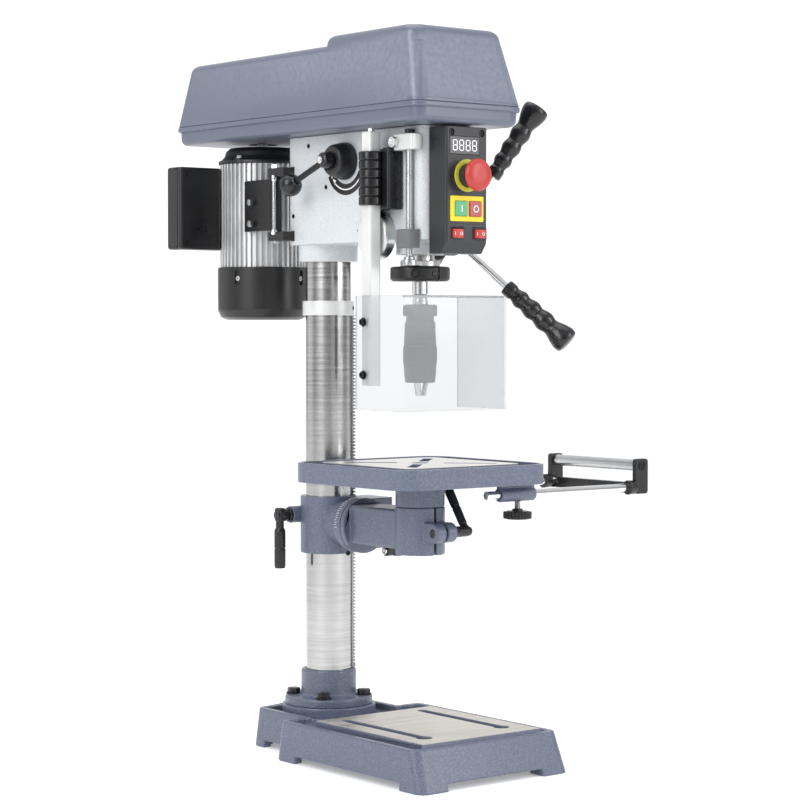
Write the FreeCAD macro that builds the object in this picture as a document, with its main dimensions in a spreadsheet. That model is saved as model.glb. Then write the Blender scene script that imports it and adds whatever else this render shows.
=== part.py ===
import FreeCAD, Part
import Sketcher
import math
import os
import re

from FreeCAD import Placement, Rotation, Vector

# Bench drill press, a parametric document in millimetres. The origin is on the bench, on the axis of the
# column. +X is the operator's right, -Y the operator's side and +Z is up. Every piece is modelled where it
# stands on the machine.

SIZES = {
    # clearances: press or face contact, running fit, and air between bodies that pass each other
    "fit_gap": 0.05, "air_gap": 0.3, "reach": 1.0,
    # column
    "column_radius": 30, "column_wall": 3, "column_top": 790,
    # column flange and its bolts
    "flange_radius": 58, "flange_foot": 57, "flange_thick": 11, "flange_hub_radius": 36.5, "flange_top": 103,
    "bolt_circle": 47, "bolt_radius": 5, "bolt_head_radius": 9, "bolt_head_height": 6.5, "bolt_depth": 8,
    # base casting
    "base_half": 119.5, "base_front": -344.4, "base_step": -43.4, "base_rear": 60.6, "neck_half": 83,
    "rim_top": 51, "base_draft": 4, "base_front_draft": 18.6, "base_wall": 9, "floor_top": 42,
    "roof_thick": 8, "rim_width": 10, "base_round": 14, "foot_gap_height": 9, "foot_long": 44,
    "neck_foot": 28, "boss_radius": 62, "plate_half": 94.5, "plate_front": -317, "plate_rear": -98,
    "plate_top": 54.8, "slot_spacing": 124, "slot_half": 5.5, "slot_front": -279, "slot_rear": -121,
    "slot_eye": 9, "bench_hole_spacing": 169, "bench_hole_y": -61, "bench_hole_radius": 5.5,
    # rack and its ring
    "rack_angle": -30, "rack_half": 5, "rack_back": 30.3, "rack_tip": 35.5, "rack_module": 1.4,
    "rack_bottom": 104, "ring_bottom": 570, "ring_height": 19, "ring_radius": 34,
    # table bracket
    "sleeve_radius": 37.2, "sleeve_bottom": 257, "sleeve_top": 332, "tilt_height": 297,
    "tilt_radius": 36, "tilt_face": -72, "tilt_disc": 12, "tilt_neck_radius": 29,
    "gearbox_left": 20, "gearbox_right": 62, "gearbox_front": -60, "gearbox_rear": -6,
    "gearbox_bottom": 264, "gearbox_top": 330, "lock_height": 307, "lock_y": 24, "lock_boss_radius": 11,
    "lock_boss_end": -46, "stud_radius": 5, "lock_stud_end": -36, "lock_hub_start": -66,
    "lock_hub_radius": 8, "lock_arm_x": -62, "lock_drop": 70, "lock_arm_length": 52, "lock_arm_radius": 7.5,
    "lock_neck_radius": 5.5,
    # lift gear and crank
    "pinion_teeth": 12, "pinion_height": 286, "wheel_radius": 9, "pinion_shaft": 4,
    "wheel_start": 21.6, "axle_start": 24.6, "axle_length": 35.6, "worm_start": 25, "worm_length": 28,
    "crank_y": -48, "crank_height": 303, "crank_shaft_radius": 5, "worm_radius": 6.3, "crank_hub_radius": 12,
    "crank_hub_end": 78, "crank_arm_start": 64, "crank_arm_end": 74, "grip_pin_proud": 4,
    "crank_drop": 46, "crank_back": 8, "crank_arm_half": 7, "grip_pin_radius": 3,
    "crank_grip_radius": 8.5, "crank_grip_length": 72,
    # tilting arm and table clamp
    "throat": 193.5, "arm_half": 25, "arm_bottom": 275, "arm_top": 325, "clamp_radius": 31.5,
    "clamp_bottom": 269, "clamp_top": 329, "stem_radius": 20, "clamp_slot": 3, "ear_y": -237,
    "ear_height": 298.5, "ear_radius": 12.5, "ear_end": 16, "clamp_lever_x": 39.5, "clamp_lever_radius": 5.8,
    "clamp_lever_length": 61, "clamp_lever_angle": 55,
    # table
    "table_half": 120, "table_round": 35, "table_bottom": 359, "table_top": 384, "table_wall": 8,
    "table_roof": 372, "table_rim": 5, "trough_floor": 377, "pad_half": 92, "pad_round": 14,
    "collar_radius": 31, "table_slot_half": 6, "table_slot_start": 30, "table_slot_end": 96,
    "table_hole": 11, "rod_spread": 81, "rod_height": 345, "rod_radius": 5.3, "guide_radius": 9,
    "guide_start": 61, "guide_end": 117, "rod_start": 40, "rod_end": 300,
    # roller extension
    "roller_x": 304, "roller_height": 373, "roller_radius": 7.5, "roller_half": 79, "axle_radius": 3,
    "cheek_thick": 7, "cheek_half": 11, "cheek_bottom": 336, "cheek_top": 382, "bar_half": 5,
    "screw_x": 92, "thumb_radius": 18, "thumb_bottom": 313.5, "thumb_top": 324, "thumb_stem": 3.5,
    # head casting
    "head_half": 42, "head_front": -250.4, "head_rear": 36, "head_bottom": 662, "head_top": 803,
    "head_round": 12, "head_collar_radius": 39, "head_collar_bottom": 640, "quill_house_radius": 30,
    "quill_house_bottom": 645, "cavity_front": -140, "cavity_rear": -40, "cavity_wall": 8,
    # quill, spindle, feed
    "quill_radius": 18, "quill_bottom": 612, "quill_top": 758, "quill_bore_top": 765,
    "bearing_radius": 14, "bearing_height": 12, "spindle_radius": 8, "spindle_bore": 8.8,
    "nose_radius": 7.5, "nose_bottom": 556, "shoulder_radius": 10, "chuck_top": 583, "spindle_top": 870,
    "feed_module": 1.25, "feed_teeth": 15, "feed_height": 669, "feed_shaft_radius": 8,
    "feed_pinion_half": 11, "feed_pocket": 12.4, "feed_hub_start": 43, "feed_hub_end": 84,
    "feed_hub_radius": 23, "feed_centre": 74, "spoke_radius": 5, "spoke_length": 112, "spoke_flare": 28,
    "first_spoke": -49, "grip_start": 94, "grip_length": 108, "grip_radius": 11, "grip_end_radius": 14.5,
    # return spring
    "spring_cap_radius": 30.5, "spring_cap_depth": 16, "spring_cap_wall": 2.5, "spring_inner": 10, "spring_half": 5,
    # chuck
    "chuck_radius": 21.4, "chuck_core": 17.6, "chuck_ring_bottom": 568.5, "sleeve_low": 482,
    "sleeve_high": 562, "nose_cone_radius": 13, "jaw_radius": 3.2, "jaw_length": 40, "jaw_tip": 468.5,
    "jaw_offset": 4, "jaw_lean": 12, "jaw_count": 3,
    # depth stop
    "rod_x": -48, "rod_y": -232, "depth_rod_radius": 4.1, "depth_rod_top": 796, "collar_bottom": 612,
    "collar_top": 630.4, "collar_outer": 37.6, "plate_high": 637.4, "plate_radius": 25,
    "plate_arm_half": 8, "guide_low": 652, "guide_high": 675, "stop_low": 772, "stop_high": 791.5,
    "stop_front": -252, "stop_rear": -214, "stop_left": -60, "stop_screw_radius": 7, "stop_screw_y": -220,
    "stop_screw_stem": 3, "cap_radius": 5.7,
    # belt drive
    "motor_y": 150, "pulley_mid": 831, "groove_floor": 42, "groove_depth": 16, "motor_groove_floor": 22,
    "groove_half": 3, "groove_slope": 0.5, "flange_lip": 2, "pulley_hub": 14, "pulley_hub_bottom": 775,
    "belt_thick": 10, "belt_gap": 0.4,
    # tray and lid of the belt cover
    "cover_half": 87.3, "cover_front": -295.6, "cover_rear": 241.7, "tray_bottom": 803, "tray_top": 827.3,
    "tray_inset": 3.5, "tray_wall": 2, "rim_height": 5, "cover_round": 16, "lid_top": 923,
    "lid_rear_top": 911, "lid_side_inset": 13.5, "lid_front_inset": 27, "lid_rear_inset": 20,
    "lid_step": -78, "lid_step_inset": 10, "lid_wall": 1.5, "hinge_y": 247, "hinge_height": 830, "hinge_radius": 4,
    "hinge_half": 12, "hinge_x": 50, "shaft_hole": 20,
    # speed lever
    "speed_y": -96, "speed_height": 766, "speed_base_radius": 23.5, "speed_tip_radius": 17.7,
    "speed_base_depth": 25, "speed_hub_radius": 10, "speed_hub_depth": 16, "speed_arm_radius": 4,
    "speed_arm_length": 80, "speed_arm_drop": 20, "speed_ball": 15,
    # motor
    "motor_radius": 59, "motor_low": 635.5, "motor_high": 775, "bell_radius": 52, "bell_top": 798,
    "stator_bore": 30.6, "rotor_radius": 30, "rotor_low": 655, "rotor_high": 757, "shaft_radius": 7,
    "shaft_low": 576, "shaft_high": 862, "fan_radius": 50, "fan_low": 582, "fan_high": 602,
    "fan_cover_radius": 62, "fan_cover_low": 564, "fan_cover_wall": 2.5, "fan_cover_chamfer": 12,
    "pin_x": -52, "pin_y": 46, "pin_radius": 4, "knuckle_radius": 8, "lug_low": 668, "lug_thick": 12,
    "lug_high": 752, "plate_thick": 8, "motor_plate_end": 114, "foot_front": 90,
    "capacitor_left": -122, "capacitor_front": 169, "capacitor_rear": 203, "capacitor_low": 659,
    "capacitor_high": 770, "capacitor_right": -40,
    # control box and switches
    "box_half": 32.6, "box_front": -284.9, "box_low": 645, "box_high": 799.7, "box_chamfer_back": 11,
    "box_chamfer_high": 14, "display_mid": -3.3, "display_half": 23.5, "display_low": 766,
    "display_high": 787.5, "display_thick": 1.5, "estop_height": 740, "estop_ring": 20,
    "estop_collar": 14.5, "estop_collar_end": -295.5, "estop_stem": 8.5, "estop_cap_start": -303,
    "estop_cap_end": -313, "switch_mid": -1, "switch_half": 26, "switch_height": 699.5,
    "switch_half_high": 15.5, "switch_thick": 1.4, "start_x": -11, "stop_x": 11.5, "button_half": 9.6,
    "button_half_high": 9.2, "button_end": -289, "button_back": -278, "rocker_left": -15.6,
    "rocker_right": 19.5, "rocker_height": 669.2, "rocker_half": 8.2, "rocker_half_high": 5.4,
    "rocker_frame": 10.6, "rocker_frame_high": 7.6, "rocker_frame_thick": 1.5, "rocker_end": -288.4,
    "rocker_back": -277, "rocker_room": 1.6, "rocker_pivot_y": -281.5, "rocker_pin": 1.2,
    # chuck guard
    "post_x": -71, "post_y": -185, "post_half": 9, "post_low": 482, "post_high": 796,
    "guard_sleeve_radius": 15.5, "guard_sleeve_low": 705, "guard_sleeve_high": 772, "guard_wall": 3,
    "guard_half": 81, "guard_front": -265, "guard_rear": -168, "guard_low": 452, "guard_high": 594,
    "guard_lip": 7, "switch_box_right": -42, "switch_box_left": -66, "switch_box_front": -213,
    "switch_box_rear": -158, "switch_box_low": 700, "switch_box_high": 776,
}

doc = FreeCAD.newDocument("drill_press")
sheet = doc.addObject("Spreadsheet::Sheet", "dims")
for row, (alias, value) in enumerate(SIZES.items(), 1):
    sheet.set(f"A{row}", alias)
    sheet.set(f"B{row}", str(value))
    sheet.setAlias(f"B{row}", alias)
doc.recompute()

WORD = re.compile(r"[a-z][a-z_0-9]*")
TURN = {
    "X": Rotation(Vector(0, 1, 0), 90),
    "Y": Rotation(Vector(1, 0, 0), -90),
    "Z": Rotation(),
}
pieces = []


# ---- helpers: every size and place is an expression on the sheet ----

def bound(text):
    """The expression text with each name of the sheet made a reference to its cell."""
    def refer(found):
        return "dims." + found.group() if found.group() in SIZES else found.group()
    return WORD.sub(refer, str(text))


def tie(thing, prop, text):
    """Binds a property of a document object to an expression on the sheet."""
    thing.setExpression(prop, bound(text))


def size(text):
    """The value of an expression, read from the same cells as the objects."""
    return float(sheet.evalExpression(bound(text)))


def place(thing, x, y, z, rotation=Rotation()):
    """Puts a document object at a place that follows the sheet."""
    thing.Placement = Placement(Vector(), rotation)
    for letter, text in zip("xyz", (x, y, z)):
        tie(thing, f"Placement.Base.{letter}", text)
    return thing


def box(x, y, z, wide, deep, high):
    """A block from its lowest corner."""
    block = doc.addObject("Part::Box", "Block")
    for prop, text in (("Length", wide), ("Width", deep), ("Height", high)):
        tie(block, prop, text)
    return place(block, x, y, z)


def span(x_low, x_high, y_low, y_high, z_low, z_high):
    """A block between two corners."""
    return box(x_low, y_low, z_low, f"({x_high}) - ({x_low})", f"({y_high}) - ({y_low})",
               f"({z_high}) - ({z_low})")


def cylinder(along, x, y, z, radius, length):
    """A cylinder that starts at a point and runs along an axis."""
    rod = doc.addObject("Part::Cylinder", "Rod")
    tie(rod, "Radius", radius)
    tie(rod, "Height", length)
    rotation = TURN[along] if isinstance(along, str) else along
    return place(rod, x, y, z, rotation)


def cone(along, x, y, z, radius_1, radius_2, length):
    """A cone that starts at a point and runs along an axis."""
    taper = doc.addObject("Part::Cone", "Taper")
    for prop, text in (("Radius1", radius_1), ("Radius2", radius_2), ("Height", length)):
        tie(taper, prop, text)
    rotation = TURN[along] if isinstance(along, str) else along
    return place(taper, x, y, z, rotation)


def ball(x, y, z, radius):
    globe = doc.addObject("Part::Sphere", "Ball")
    tie(globe, "Radius", radius)
    return place(globe, x, y, z)


def drafted(half, y_low, y_high, z_low, z_high, side, front, rear):
    """A block whose walls lean in towards its top by the side, front and rear insets."""
    wedge = doc.addObject("Part::Wedge", "Drafted")
    # the wedge's own Y runs up and its own Z runs to the front
    edges = {
        "Xmin": f"-({half})", "Xmax": half, "X2min": f"-({half}) + {side}", "X2max": f"{half} - ({side})",
        "Ymin": z_low, "Ymax": z_high, "Zmin": f"-({y_high})", "Zmax": f"-({y_low})",
        "Z2min": f"-({y_high}) + {rear}", "Z2max": f"-({y_low}) - ({front})",
    }
    for prop, text in edges.items():
        tie(wedge, prop, text)
    wedge.Placement = Placement(Vector(), Rotation(Vector(1, 0, 0), 90))
    return wedge


def fuse(*things):
    union = doc.addObject("Part::MultiFuse", "Union")
    union.Shapes = list(things)
    union.Refine = True
    return union


def cut(base, *tools):
    """The base less every tool."""
    remains = doc.addObject("Part::Cut", "Remains")
    remains.Base = base
    remains.Tool = tools[0] if len(tools) == 1 else fuse(*tools)
    return remains


def upright(edge):
    """Whether an edge rises more than it runs."""
    start, end = edge.Vertexes[0].Point, edge.Vertexes[-1].Point
    return abs(end.z - start.z) > (end - start).Length / 2


def rounded(thing, radius, wanted=upright):
    """Rounds the edges that the test picks."""
    doc.recompute()
    soft = doc.addObject("Part::Fillet", "Rounded")
    soft.Base = thing
    blend = size(radius)
    soft.Edges = [(n, blend, blend) for n, edge in enumerate(thing.Shape.Edges, 1) if wanted(edge)]
    return soft


def turned(profile, x=0, y=0, z=0, along="Z"):
    """A PartDesign body revolved from (radius, height) expressions; a zero stays on the axis."""
    body = doc.addObject("PartDesign::Body", "Turned")
    sketch = body.newObject("Sketcher::SketchObject", "Profile")
    plane = [f for f in body.Origin.OriginFeatures if f.Role == "XZ_Plane"][0]
    sketch.AttachmentSupport = [(plane, "")]
    sketch.MapMode = "FlatFace"
    corners = [Vector(size(radius), size(height), 0) for radius, height in profile]
    for start, end in zip(corners, corners[1:] + corners[:1]):
        sketch.addGeometry(Part.LineSegment(start, end), False)
    count = len(corners)
    for n in range(count):
        sketch.addConstraint(Sketcher.Constraint("Coincident", n, 2, (n + 1) % count, 1))
    for n, point in enumerate(profile):
        for kind, axis, text in (("DistanceX", -2, point[0]), ("DistanceY", -1, point[1])):
            if str(text) == "0":
                sketch.addConstraint(Sketcher.Constraint("PointOnObject", n, 1, axis))
                continue
            index = sketch.addConstraint(Sketcher.Constraint(kind, -1, 1, n, 1, size(text)))
            sketch.setExpression(f"Constraints[{index}]", bound(text))
    spin = body.newObject("PartDesign::Revolution", "Spin")
    spin.Profile = sketch
    spin.ReferenceAxis = (sketch, ["V_Axis"])
    spin.Angle = 360
    sketch.Visibility = False
    return place(body, x, y, z, TURN[along] if isinstance(along, str) else along)


def piece(name, thing):
    """Names a finished sub-part; its label is the name of its file."""
    thing.Label = name
    pieces.append(thing)
    return thing


def shaped(name, shape):
    """A sub-part whose outline is a formula, set as a plain shape."""
    feature = doc.addObject("Part::Feature", name)
    feature.Shape = shape
    feature.Placement = shape.Placement
    return feature


def gear(teeth, module, width):
    """A spur gear about Z with a tooth on +X, thinned for backlash so that it runs freely in its rack."""
    pitch = teeth * module / 2
    root, tip = pitch - 1.2 * module, pitch + 0.8 * module
    base = pitch * math.cos(math.radians(20))
    half_tooth = math.pi / (2 * teeth) - 0.12 * module / pitch
    involute = math.tan(math.radians(20)) - math.radians(20)

    def flank(radius):
        pressure = math.acos(min(1, base / max(radius, base)))
        return half_tooth + involute - (math.tan(pressure) - pressure)

    points = []
    steps = [root + (tip - root) * k / 5 for k in range(6)]
    for tooth in range(teeth):
        middle = 2 * math.pi * tooth / teeth
        for side, radii in ((-1, steps), (1, steps[::-1])):
            for radius in radii:
                turn = middle + side * flank(radius)
                points.append(Vector(radius * math.cos(turn), radius * math.sin(turn), -width / 2))
    return Part.Face(Part.makePolygon(points + points[:1])).extrude(Vector(0, 0, width))


def rack_bar(back, tip, half, low, high, module, space_at):
    """A toothed bar along Z, its back at x = back and its teeth out to x = tip, with a space at one height."""
    pitch = math.pi * module
    addendum, depth = module, 2.25 * module
    lean = math.tan(math.radians(20))
    first = math.ceil((low + pitch / 2 - space_at) / pitch)
    last = math.floor((high - pitch / 2 - space_at) / pitch)
    points = [Vector(back, -half, high), Vector(back, -half, low), Vector(tip, -half, low)]
    for n in range(first, last + 1):
        middle = space_at + n * pitch
        mouth, floor = pitch / 4 + addendum * lean, pitch / 4 - (depth - addendum) * lean
        for x, rise in ((tip, -mouth), (tip - depth, -floor), (tip - depth, floor), (tip, mouth)):
            points.append(Vector(x, -half, middle + rise))
    points.append(Vector(tip, -half, high))
    return Part.Face(Part.makePolygon(points + points[:1])).extrude(Vector(0, 2 * half, 0))


def about_x(degrees):
    """Turns a thing that points along +Z so that it points along +Y, raised by degrees."""
    return Rotation(Vector(1, 0, 0), degrees - 90)


# ---- base and column ----

def make_base():
    wide = rounded(drafted("base_half", "base_front", "base_step", "0", "rim_top", "base_draft",
                           "base_front_draft", "base_draft"), "base_round")
    neck = rounded(drafted("neck_half", "base_step - 3 * base_round", "base_rear", "0", "rim_top",
                           "base_draft", "base_draft", "base_draft"), "base_round")
    boss = cylinder("Z", "0", "0", "floor_top - roof_thick", "boss_radius", "flange_foot - floor_top + roof_thick")
    plate = span("-plate_half", "plate_half", "plate_front", "plate_rear", "floor_top - roof_thick", "plate_top")
    wall = "base_wall + base_draft"
    under_wide = span(f"-base_half + {wall}", f"base_half - ({wall})",
                      "base_front + base_front_draft + base_wall", f"base_step - ({wall})", "-reach",
                      "floor_top - roof_thick")
    under_neck = span(f"-neck_half + {wall}", f"neck_half - ({wall})", f"base_step - ({wall}) - reach",
                      f"base_rear - ({wall})", "-reach", "floor_top - roof_thick")
    edge = "base_draft + rim_width"
    recess = span(f"-base_half + {edge}", f"base_half - ({edge})",
                  "base_front + base_front_draft + rim_width", f"base_step - ({edge})", "floor_top",
                  "rim_top + reach")
    neck_recess = span(f"-neck_half + {edge}", f"neck_half - ({edge})", f"base_step - ({edge}) - reach",
                       f"base_rear - ({edge})", "floor_top", "rim_top + reach")
    side_gap = span("-base_half - reach", "base_half + reach", "base_front + foot_long",
                    "base_step - foot_long", "-reach", "foot_gap_height")
    front_gap = span("-base_half + foot_long", "base_half - foot_long", "base_front - reach",
                     "base_front + foot_long", "-reach", "foot_gap_height")
    neck_gap = span("-base_half - reach", "base_half + reach", "base_step", "base_rear - neck_foot",
                    "-reach", "foot_gap_height")
    rear_gap = span("-neck_half + neck_foot", "neck_half - neck_foot", "base_rear - neck_foot",
                    "base_rear + reach", "-reach", "foot_gap_height")
    shell = cut(fuse(wide, neck), under_wide, under_neck, recess, neck_recess, side_gap, front_gap,
                neck_gap, rear_gap)
    tools = []
    for side in ("-", ""):
        middle = f"{side}slot_spacing / 2"
        tools.append(span(f"{middle} - slot_half", f"{middle} + slot_half", "slot_front", "slot_rear",
                          "0", "plate_top + reach"))
        tools.append(cylinder("Z", middle, "slot_rear", "0", "slot_half", "plate_top + reach"))
        tools.append(cylinder("Z", middle, "slot_front", "0", "slot_eye", "plate_top + reach"))
        tools.append(cylinder("Z", f"{side}bench_hole_spacing / 2", "bench_hole_y", "0",
                              "bench_hole_radius", "rim_top + reach"))
    for x, y in bolt_places():
        tools.append(cylinder("Z", x, y, "flange_foot - bolt_depth", "bolt_radius + fit_gap",
                              "bolt_depth + reach"))
    piece("base", cut(fuse(shell, boss, plate), *tools))


def bolt_places():
    """The four flange bolts, on the diagonals of the bolt circle."""
    step = "bolt_circle * sqrt(2) / 2"
    return [(f"{a}{step}", f"{b}{step}") for a in ("-", "") for b in ("-", "")]


def make_column():
    flange = turned([("column_radius + fit_gap", "flange_foot"), ("flange_radius", "flange_foot"),
                     ("flange_radius", "flange_foot + flange_thick - 2"),
                     ("flange_radius - 2", "flange_foot + flange_thick"),
                     ("flange_hub_radius + 3", "flange_foot + flange_thick"),
                     ("flange_hub_radius", "flange_foot + flange_thick + 3"),
                     ("flange_hub_radius", "flange_top - 2"), ("flange_hub_radius - 2", "flange_top"),
                     ("column_radius + fit_gap", "flange_top")])
    holes = [cylinder("Z", x, y, "flange_foot - reach", "bolt_radius + fit_gap", "flange_thick + 2 * reach")
             for x, y in bolt_places()]
    piece("column_flange", cut(flange, *holes))
    bolts = []
    for x, y in bolt_places():
        shank = cylinder("Z", x, y, "flange_foot - bolt_depth", "bolt_radius", "bolt_depth + flange_thick + reach")
        head = doc.addObject("Part::Prism", "Hexagon")
        tie(head, "Circumradius", "bolt_head_radius")
        tie(head, "Height", "bolt_head_height")
        place(head, x, y, "flange_foot + flange_thick")
        bolts.append(fuse(shank, head))
    piece("flange_bolts", doc.addObject("Part::Compound", "Bolts"))
    pieces[-1].Links = bolts
    outer = cylinder("Z", "0", "0", "flange_foot", "column_radius", "column_top - flange_foot")
    inner = cylinder("Z", "0", "0", "flange_foot - reach", "column_radius - column_wall",
                     "column_top - flange_foot + 2 * reach")
    piece("column", cut(outer, inner))
    piece("rack_ring", turned([("column_radius + fit_gap", "0"), ("ring_radius - 1", "0"), ("ring_radius", "1"),
                               ("ring_radius", "ring_height - 1"), ("ring_radius - 1", "ring_height"),
                               ("column_radius + fit_gap", "ring_height")], z="ring_bottom"))


def make_rack():
    bar = rack_bar(size("rack_back"), size("rack_tip"), size("rack_half"), size("rack_bottom"),
                   size("ring_bottom - air_gap"), size("rack_module"), size("pinion_height"))
    curve = Part.makeCylinder(size("rack_back"), size("ring_bottom"))
    shape = bar.cut(curve)
    shape.Placement = Placement(Vector(), Rotation(Vector(0, 0, 1), size("rack_angle")))
    piece("rack", shaped("rack", shape))


# ---- table bracket, lift gear and tilting arm ----

def pinion_axis():
    """The lift pinion's centre and the turn that points local +X along its axle."""
    out = size("rack_tip - rack_module + pinion_teeth * rack_module / 2")
    turn = Rotation(Vector(0, 0, 1), size("rack_angle"))
    centre = turn.multVec(Vector(out, 0, 0))
    centre.z = size("pinion_height")
    return centre, turn


def along_axle(start, length, radius):
    """A cylinder about the lift pinion's axle, from a distance along it."""
    centre, turn = pinion_axis()
    return Part.makeCylinder(radius, length, centre + turn.multVec(Vector(0, start, 0)),
                             turn.multVec(Vector(0, 1, 0)))


def make_bracket():
    sleeve = cylinder("Z", "0", "0", "sleeve_bottom", "sleeve_radius", "sleeve_top - sleeve_bottom")
    gearbox = rounded(span("gearbox_left", "gearbox_right", "gearbox_front", "gearbox_rear",
                           "gearbox_bottom", "gearbox_top"), "base_draft")
    neck = cylinder("Y", "0", "gearbox_front - tilt_disc", "tilt_height", "tilt_neck_radius",
                    "tilt_disc - gearbox_front")
    disc = cylinder("Y", "0", "tilt_face", "tilt_height", "tilt_radius", "tilt_disc")
    boss = cylinder("X", "lock_boss_end", "lock_y", "lock_height", "lock_boss_radius", "-lock_boss_end - reach")
    bore = cylinder("Z", "0", "0", "sleeve_bottom - reach", "column_radius + fit_gap",
                    "sleeve_top - sleeve_bottom + 2 * reach")
    channel = box("0", "-rack_half - air_gap", "sleeve_bottom - reach", "rack_tip + air_gap",
                  "2 * (rack_half + air_gap)", "sleeve_top - sleeve_bottom + 2 * reach")
    place_turned(channel, "(rack_half + air_gap) * sin(rack_angle)", "-(rack_half + air_gap) * cos(rack_angle)",
                 "sleeve_bottom - reach", "rack_angle")
    gear_room = shaped("GearRoom", along_axle(size("-wheel_start - air_gap"),
                                              size("wheel_start + rack_half + 2 * air_gap"),
                                              size("pinion_teeth * rack_module / 2 + rack_module + air_gap * 2")))
    axle_bore = shaped("AxleBore", along_axle(size("-axle_start - reach"), size("axle_length + 2 * reach"),
                                              size("pinion_shaft + fit_gap")))
    worm_room = cylinder("X", "worm_start - reach", "crank_y", "crank_height", "worm_radius + air_gap",
                         "worm_length + 2 * reach")
    shaft_bore = cylinder("X", "worm_start - reach", "crank_y", "crank_height", "crank_shaft_radius + fit_gap",
                          "gearbox_right - worm_start + 2 * reach")
    stud_bore = cylinder("X", "lock_boss_end - reach", "lock_y", "lock_height", "stud_radius + fit_gap",
                         "lock_stud_end - lock_boss_end + 2 * reach")
    piece("table_bracket", cut(fuse(sleeve, gearbox, neck, disc, boss), bore, channel, gear_room, axle_bore,
                               worm_room, shaft_bore, stud_bore))


def place_turned(thing, x, y, z, angle):
    """Places a thing turned about Z by an angle of the sheet."""
    thing.Placement = Placement(Vector(), Rotation(Vector(0, 0, 1), size(angle)))
    for letter, text in zip("xyz", (x, y, z)):
        tie(thing, f"Placement.Base.{letter}", text)
    return thing


def make_lift():
    centre, turn = pinion_axis()
    pinion = gear(SIZES["pinion_teeth"], size("rack_module"), size("2 * rack_half"))
    # the gear's own Z lies along the axle and a tooth points at the rack
    pinion.Placement = Placement(centre, turn.multiply(Rotation(Vector(1, 0, 0), -90))
                                 .multiply(Rotation(Vector(0, 0, 1), 180)))
    axle = along_axle(size("-axle_start"), size("axle_length"), size("pinion_shaft"))
    wheel = along_axle(size("-wheel_start"), size("wheel_radius"), size("wheel_radius"))
    piece("lift_pinion", shaped("lift_pinion", pinion.fuse([axle, wheel]).removeSplitter()))
    shaft = cylinder("X", "worm_start", "crank_y", "crank_height", "crank_shaft_radius",
                     "crank_hub_end - worm_start - reach")
    worm = cylinder("X", "worm_start", "crank_y", "crank_height", "worm_radius", "worm_length")
    hub = cylinder("X", "gearbox_right + air_gap", "crank_y", "crank_height", "crank_hub_radius",
                   "crank_hub_end - gearbox_right - air_gap")
    arm = span("crank_arm_start", "crank_arm_end", "-crank_arm_half", "crank_arm_half",
               "-hypot(crank_drop; crank_back)", "0")
    tip = cylinder("X", "crank_arm_start", "0", "-hypot(crank_drop; crank_back)", "crank_arm_half",
                   "crank_arm_end - crank_arm_start")
    lever = fuse(arm, tip)
    swing = math.degrees(math.atan2(size("crank_back"), size("crank_drop")))
    lever.Placement = Placement(Vector(0, size("crank_y"), size("crank_height")),
                                Rotation(Vector(1, 0, 0), swing))
    pin = cylinder("X", "crank_arm_start + reach", "crank_y + crank_back", "crank_height - crank_drop",
                   "grip_pin_radius", "crank_arm_end - crank_arm_start + crank_grip_length + grip_pin_proud")
    piece("table_crank", fuse(shaft, worm, hub, lever, pin))
    grip = turned([("grip_pin_radius + fit_gap", "0"), ("crank_grip_radius - 2", "0"),
                   ("crank_grip_radius", "3"), ("crank_grip_radius - 1.5", "crank_grip_length / 2"),
                   ("crank_grip_radius", "crank_grip_length - 6"),
                   ("crank_grip_radius - 3", "crank_grip_length"), ("grip_pin_radius + fit_gap", "crank_grip_length")],
                  "crank_arm_end + air_gap", "crank_y + crank_back", "crank_height - crank_drop", "X")
    piece("crank_grip", grip)
    stud = cylinder("X", "lock_arm_x", "lock_y", "lock_height", "stud_radius", "lock_stud_end - lock_arm_x")
    hub = cylinder("X", "lock_hub_start", "lock_y", "lock_height", "lock_hub_radius",
                   "lock_boss_end - lock_hub_start - air_gap")
    arm = cylinder("Z", "lock_arm_x", "lock_y", "lock_height - lock_drop", "lock_arm_radius", "lock_arm_length")
    neck = cylinder("Z", "lock_arm_x", "lock_y", "lock_height - lock_drop + lock_arm_length - reach",
                    "lock_neck_radius", "lock_drop - lock_arm_length + 2 * reach")
    piece("column_lock_lever", fuse(stud, hub, arm, neck))


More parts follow.
